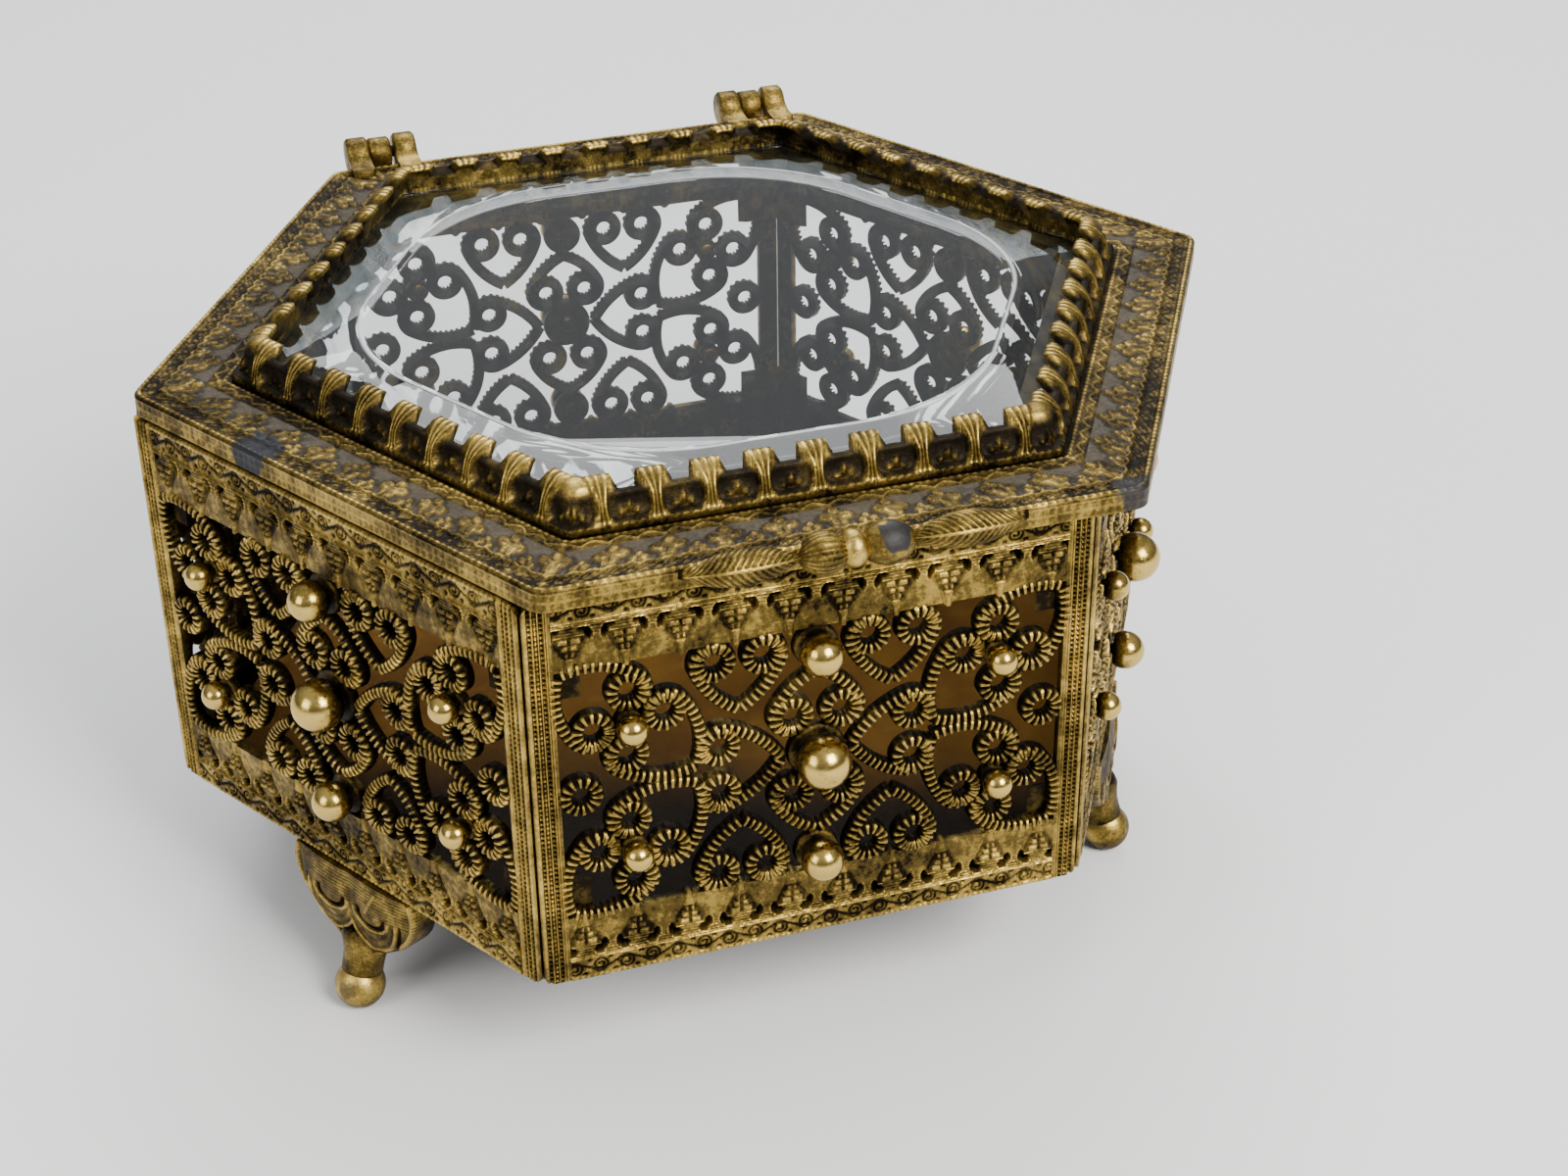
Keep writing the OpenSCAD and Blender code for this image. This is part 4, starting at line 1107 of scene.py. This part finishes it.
def shield_relief(x, y):
    """Relief of the shield's face: two scalloped lobes under fine ruled lines."""
    lobe_x = np.abs(x) - LOBE_X
    lobe_y = np.minimum(y - LOBE_Y, 0)
    half = np.interp(-y, *SHIELD_OUTLINE.T)
    inset = (half - np.abs(x)) * np.interp(-y, [4.0, 8.0], [1.0, 0.62])
    dome = 1.05 * np.interp(-y, [0, 3, 8, 12], [0.55, 1.0, 0.9, 0.3])
    bulge = dome * (1 - np.clip(lobe_x / 6.8, -1, 1) ** 2)
    relief = Relief(bulge * ease(inset, 0, 1.6), 0.42)
    rules = ripple(y, 0.46) - 0.5
    relief.add(window(y, -4.3, -0.1, 0.25), 0.06 * rules, 0.24 * rules)
    small = (np.hypot(lobe_x / 2.3, lobe_y / 1.3) - 1) * 1.6
    big = (np.hypot(lobe_x / 4.4, lobe_y / 4.8) - 1) * 4.2
    below = ease(y, LOBE_Y + 1.0, LOBE_Y)
    groove = bump_line(small, 0.34) + bump_line(big - 0.42, 0.30)
    relief.add(groove * below, -0.34, -0.50)
    ridge = bump_line(big, 0.36) + bump_line(small - 0.55, 0.30)
    relief.add(ridge * below, 0.22, 0.42)
    arcs = ripple(big, 0.9) - 0.5
    relief.add(ease(big, 0.0, -0.4) * ease(small, 0.4, 0.8) * below, 0.06 * arcs, 0.16 * arcs)
    spine = bump_line((x - 3.0) * 0.89 - (y + 4.2) * 0.45, 0.34)
    relief.add(spine * window(y, -4.4, -0.4, 0.4), 0.22, 0.30)
    relief.add(bump_line(inset - 0.42, 0.46), 0.30, 0.40)
    relief.add(ease(inset, 0.22, 0.0), -0.50, 0.0)
    # Painted shade: darker towards the shield's lower tip.
    relief.add(ease(y, -9.2, -11.5), 0.0, -0.15)
    return relief


def add_ball_foot(shell):
    """The ball that the box stands on, and the neck from it up to the shield."""
    rise = math.sqrt(FOOT_BALL_R**2 - FOOT_FLAT_R**2)
    ball = np.array([0, rise - FOOT_H, FACE_Z + FOOT_BALL_OUT])
    profile = ball_profile(FOOT_BALL_R, -math.degrees(math.asin(rise / FOOT_BALL_R)), steps=26)
    height = profile[:, 1]
    # Painted shade: darker towards the ball's underside, lighter on top.
    wear = 0.35 + 0.40 * ease(height, -2.0, 0.5) + 0.2 * ease(height, 0.5, 2.6)
    add_lathe(shell, profile, ball, (0, 1, 0), wear, 48)
    along = np.array([0, NECK_TOP_Y, FACE_Z - FOOT_DEPTH / 2]) - ball
    length = np.linalg.norm(along)
    neck = np.array([*NECK_ROWS, (2.3, length, 0.1)])
    add_lathe(shell, neck[:, :2], ball, along / length, neck[:, 2], 40)
    shell.blacken(ball + [0.9, 0.9, 2.8], [1.3, 1.2, 1.5], 0.6)


def build_feet():
    shell = Shell()
    y, share = grid(np.linspace(-SHIELD_OUTLINE[-1, 0], 0, 150), np.linspace(-1, 1, 190))
    x = share * np.interp(-y, *SHIELD_OUTLINE.T)
    relief = shield_relief(x, y)
    add_slab(shell, x, y, FACE_Z + relief.height, relief.wear, base=FACE_Z - FOOT_DEPTH)
    add_ball_foot(shell)
    tab_w, tab_t, tab_l = FOOT_TAB
    root_z = FACE_Z - FOOT_DEPTH
    tab = np.array([[-1, -1], [1, -1], [1, 0], [-1, 0]]) * [tab_w / 2, tab_t]
    loops = [np.column_stack([tab, np.full(4, z)]) for z in (root_z - tab_l, root_z + 0.2)]
    add_tube(shell, loops, tones_of(np.full((2, 4), 0.3), 0.2))
    hung = shell.placed(lambda points: points - [0, PANEL_H / 2, 0])
    for k in FOOT_SIDES:
        hung.build_on_side(k, "scalloped_foot", "foot", CAST)


# ---- Thumb lift ----

THUMB_END = 20.15
STEM_HALF, STEM_R = 5, 1.3
LEAF_MIDDLE = 12.9
LEAF_HALF = 7.25
LEAF_R = 2.1
# Direction of the leaves' middle rib, in degrees above straight out
RIB_ANGLE = 20
# Lobes between the leaves: middle, half length, radius
THUMB_LOBES = ((-3.8, 2.9, 2.4), (-0.4, 1.8, 2.2), (3.6, 3.2, 2.5))


def build_thumb_lift():
    """A roll along the lid's front face: two veined leaves and three lobes between them."""
    x, angle = grid(np.linspace(-THUMB_END, THUMB_END, 520), np.linspace(-90, 152, 60))
    leaf_at = np.abs(x) - LEAF_MIDDLE
    leaf = LEAF_R * np.clip(1 - (leaf_at / LEAF_HALF) ** 2, 0, None)
    lobes = [r * np.sqrt(np.clip(1 - ((x - at) / half) ** 2, 0, None)) for at, half, r in THUMB_LOBES]
    stem = STEM_R * (np.abs(x) < STEM_HALF)
    radius = np.maximum.reduce([leaf, *lobes, stem])
    on_brown, on_knob, on_worn = (lobe >= radius - 1e-6 for lobe in lobes)
    on_leaf = (leaf >= radius - 1e-6) & (np.abs(x) > STEM_HALF)
    rib = bump_line(angle - RIB_ANGLE, 9)
    veins = ripple(leaf_at + 0.030 * np.abs(angle - RIB_ANGLE), 0.85)
    flutes = ripple(angle, 18)
    relief = Relief(radius, 0.68)
    relief.add(on_leaf * (1 - rib) * (1 - veins), -0.12 * ease(radius, 0.2, 0.9), -0.34)
    relief.add(on_leaf * rib, 0.12 * ease(radius, 0.3, 0.9), 0.22)
    relief.add(on_brown * (1 - flutes), -0.12 * ease(radius, 0.6, 1.6), 0.0)
    lobe_wear = [0.50, 0.85, 0.32 + 0.28 * flutes]
    wear = np.select([on_worn, on_knob, on_brown], lobe_wear, relief.wear) * ease(radius, 0.1, 0.5)
    y = -LID_REACH - relief.height * np.cos(np.radians(angle))
    z = -THUMB_DROP + relief.height * np.sin(np.radians(angle))
    over_lid = (y > -LID_REACH) & (angle > 0)
    z = np.where(over_lid, np.maximum(z, 0.02), z)
    shell = Shell()
    add_tube(shell, np.stack([x + THUMB_SHIFT, y, z], axis=-1), tones_of(wear), flip=True)
    shell.blacken([THUMB_SHIFT + 4.2, -LID_REACH - 1.6, 0.6], [2.1, 2.4, 1.8], 0.95)
    shell.placed(on_lid).build("leaf_thumb_lift", "thumb_lift", "lid", CAST)


# ---- Hinges ----

# Along a hinge's pin, from its middle: where the two eyes and the barrel between them lie
EYE_SPANS = ((-4.905, -1.805), (1.805, 4.905))
BARREL_SPAN = (-1.745, 1.355)
# A bracket's heights and depths from the pin's middle
STEP_Z = -4.3
LEG_END_Z = -11.3
STRIP_Y = -1.95
PANEL_FACE_Y = -4.888
# Side view of the hollow between an eye and the end of its lug
EYE_HOLLOW = ((-2.45, 0.85), (-2.95, 0.45), (-3.7, 0.12), (-4.6, 0.0), (-5.9, 0.0))


def circle_points(radius, start, end, steps):
    angle = np.radians(np.linspace(start, end, steps))
    return np.stack([radius * np.cos(angle), radius * np.sin(angle)], axis=1)


def eye_outline():
    """Side view of an eye and its lug, anticlockwise from the lug's under side."""
    lug_end = LID_FACE_Y - LUG_L
    under = [(lug_end, -HINGE_RISE), (-2.2, -HINGE_RISE)]
    return np.array([*under, *circle_points(EYE_R, -150, 145, 44), *EYE_HOLLOW, (lug_end, -0.25)])


def bracket_outline():
    """Side view of a bracket, anticlockwise: the barrel, the strip below it, the step and the leg."""
    inner = STRIP_Y + BRACKET_T
    foot = PANEL_FACE_Y + BRACKET_T
    strip = [(STRIP_Y, STEP_Z), (PANEL_FACE_Y, STEP_Z), (PANEL_FACE_Y, LEG_END_Z)]
    back = [(foot, LEG_END_Z), (foot, STEP_Z - BRACKET_T), (inner, STEP_Z - BRACKET_T)]
    return np.array([*circle_points(BARREL_R, -62, 210, 44), *strip, *back])


def build_hinges():
    for sign, name in ((-1, "left"), (1, "right")):
        place = np.array([LID_XY[0] + sign * HINGE_X, AXIS_Y, AXIS_Z])
        eyes = Shell()
        for start, end in EYE_SPANS:
            add_bar(eyes, eye_outline(), start, end, place, 0.5, 0.35)
        eyes.build(f"hinge_lugs_{name}", f"hinge_eyes_{name}", "lid", CAST)
        barrel = Shell()
        add_bar(barrel, bracket_outline(), *BARREL_SPAN, place, 0.5, 0.3)
        barrel.build(f"hinge_barrel_{name}", f"hinge_bracket_{name}", "box", CAST)


build_panels()
build_studs()
build_lid_rim()
build_gallery()
build_glass()
build_lining()
build_feet()
build_thumb_lift()
build_hinges()


# ---- Plain CAD nodes that keep their shape ----


def dress(node):
    """Gives a CAD node old brass, a little rubbed and a little grimy all over."""
    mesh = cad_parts[node].data
    mesh.materials.clear()
    mesh.materials.append(OLD_BRASS)
    store_tones(mesh, (0.20, 0.10, 0.0))


for cad_node in CAD_NODES:
    dress(cad_node)


# ---- Stage, light and camera ----

FLOOR_HALF = 3.0
# Area lamps: name, place, size, power, colour
LAMPS = (
    ("key", (0.30, -0.70, 0.66), 0.45, 15.0, (1.0, 0.98, 0.95)),
    ("soft_box", (0.17, 0.55, 0.72), 0.60, 6.0, (0.97, 0.98, 1.0)),
    ("fill", (-0.75, -0.35, 0.45), 0.45, 3.5, (1.0, 0.98, 0.95)),
)
LAMPS_AIM = Vector((0, 0, 0.05))
# The photograph's own camera: its place from the centre of the lid's upper face in
# millimetres, its axes, and its focal length over the picture's width in pixels
CAMERA_OFFSET = (-83.906, -295.518, 145.319)
CAMERA_RIGHT = Vector((0.9497242, -0.31297826, -0.00827995))
CAMERA_UP = Vector((0.16908322, 0.49046179, 0.85490239))
CAMERA_FORWARD = Vector((0.26350486, 0.81332149, -0.5187228))
FOCAL_LENGTH, PICTURE_W = 2727.4, 1600
SENSOR_W = 36.0


def build_floor():
    mesh = bpy.data.meshes.new("floor")
    corners = ((-1, -1, 0), (1, -1, 0), (1, 1, 0), (-1, 1, 0))
    mesh.from_pydata([FLOOR_HALF * Vector(corner) for corner in corners], [], [(0, 1, 2, 3)])
    n = Nodes(bpy.data.materials.new("pale_floor"))
    mesh.materials.append(n.finished(n.principled({
        "Base Color": (0.88, 0.88, 0.88, 1),
        "Roughness": 0.9,
    })))
    floor = bpy.data.objects.new("floor", mesh)
    bpy.context.scene.collection.objects.link(floor)


def build_world():
    """A white room, brighter overhead than at the level of the table."""
    n = Nodes(bpy.data.worlds.new("studio"))
    direction = n.add("ShaderNodeTexCoord").outputs["Generated"]
    up = n.add("ShaderNodeSeparateXYZ", {0: direction}).outputs["Z"]
    sockets = {"Value": up, "From Min": 0.0, "From Max": 1.0, "To Min": 0.10, "To Max": 0.80}
    strength = n.add("ShaderNodeMapRange", sockets).outputs[0]
    sky = n.add("ShaderNodeBackground", {0: (0.94, 0.97, 1.0, 1), 1: strength}).outputs[0]
    bpy.context.scene.world = n.finished(sky, "ShaderNodeOutputWorld")


def build_lights():
    """A key lamp in front at the right, a soft box behind and a weak fill at the left."""
    for name, place, size, power, colour in LAMPS:
        data = bpy.data.lights.new(name, "AREA")
        data.size = size
        data.energy = power
        data.color = colour
        lamp = bpy.data.objects.new(name, data)
        bpy.context.scene.collection.objects.link(lamp)
        lamp.location = place
        lamp.rotation_euler = (LAMPS_AIM - lamp.location).to_track_quat("-Z", "Y").to_euler()


def build_camera():
    """The photograph's own view, fitted to the corners of the lid and the box."""
    data = bpy.data.cameras.new("camera")
    data.sensor_width = SENSOR_W
    data.lens = FOCAL_LENGTH * SENSOR_W / PICTURE_W
    camera = bpy.data.objects.new("camera", data)
    bpy.context.scene.collection.objects.link(camera)
    turn = Matrix((CAMERA_RIGHT, CAMERA_UP, -CAMERA_FORWARD)).transposed()
    place = Vector((LID_CENTRE + CAMERA_OFFSET) * MM)
    camera.matrix_world = Matrix.Translation(place) @ turn.to_4x4()
    bpy.context.scene.camera = camera


build_floor()
build_world()
build_lights()
build_camera()
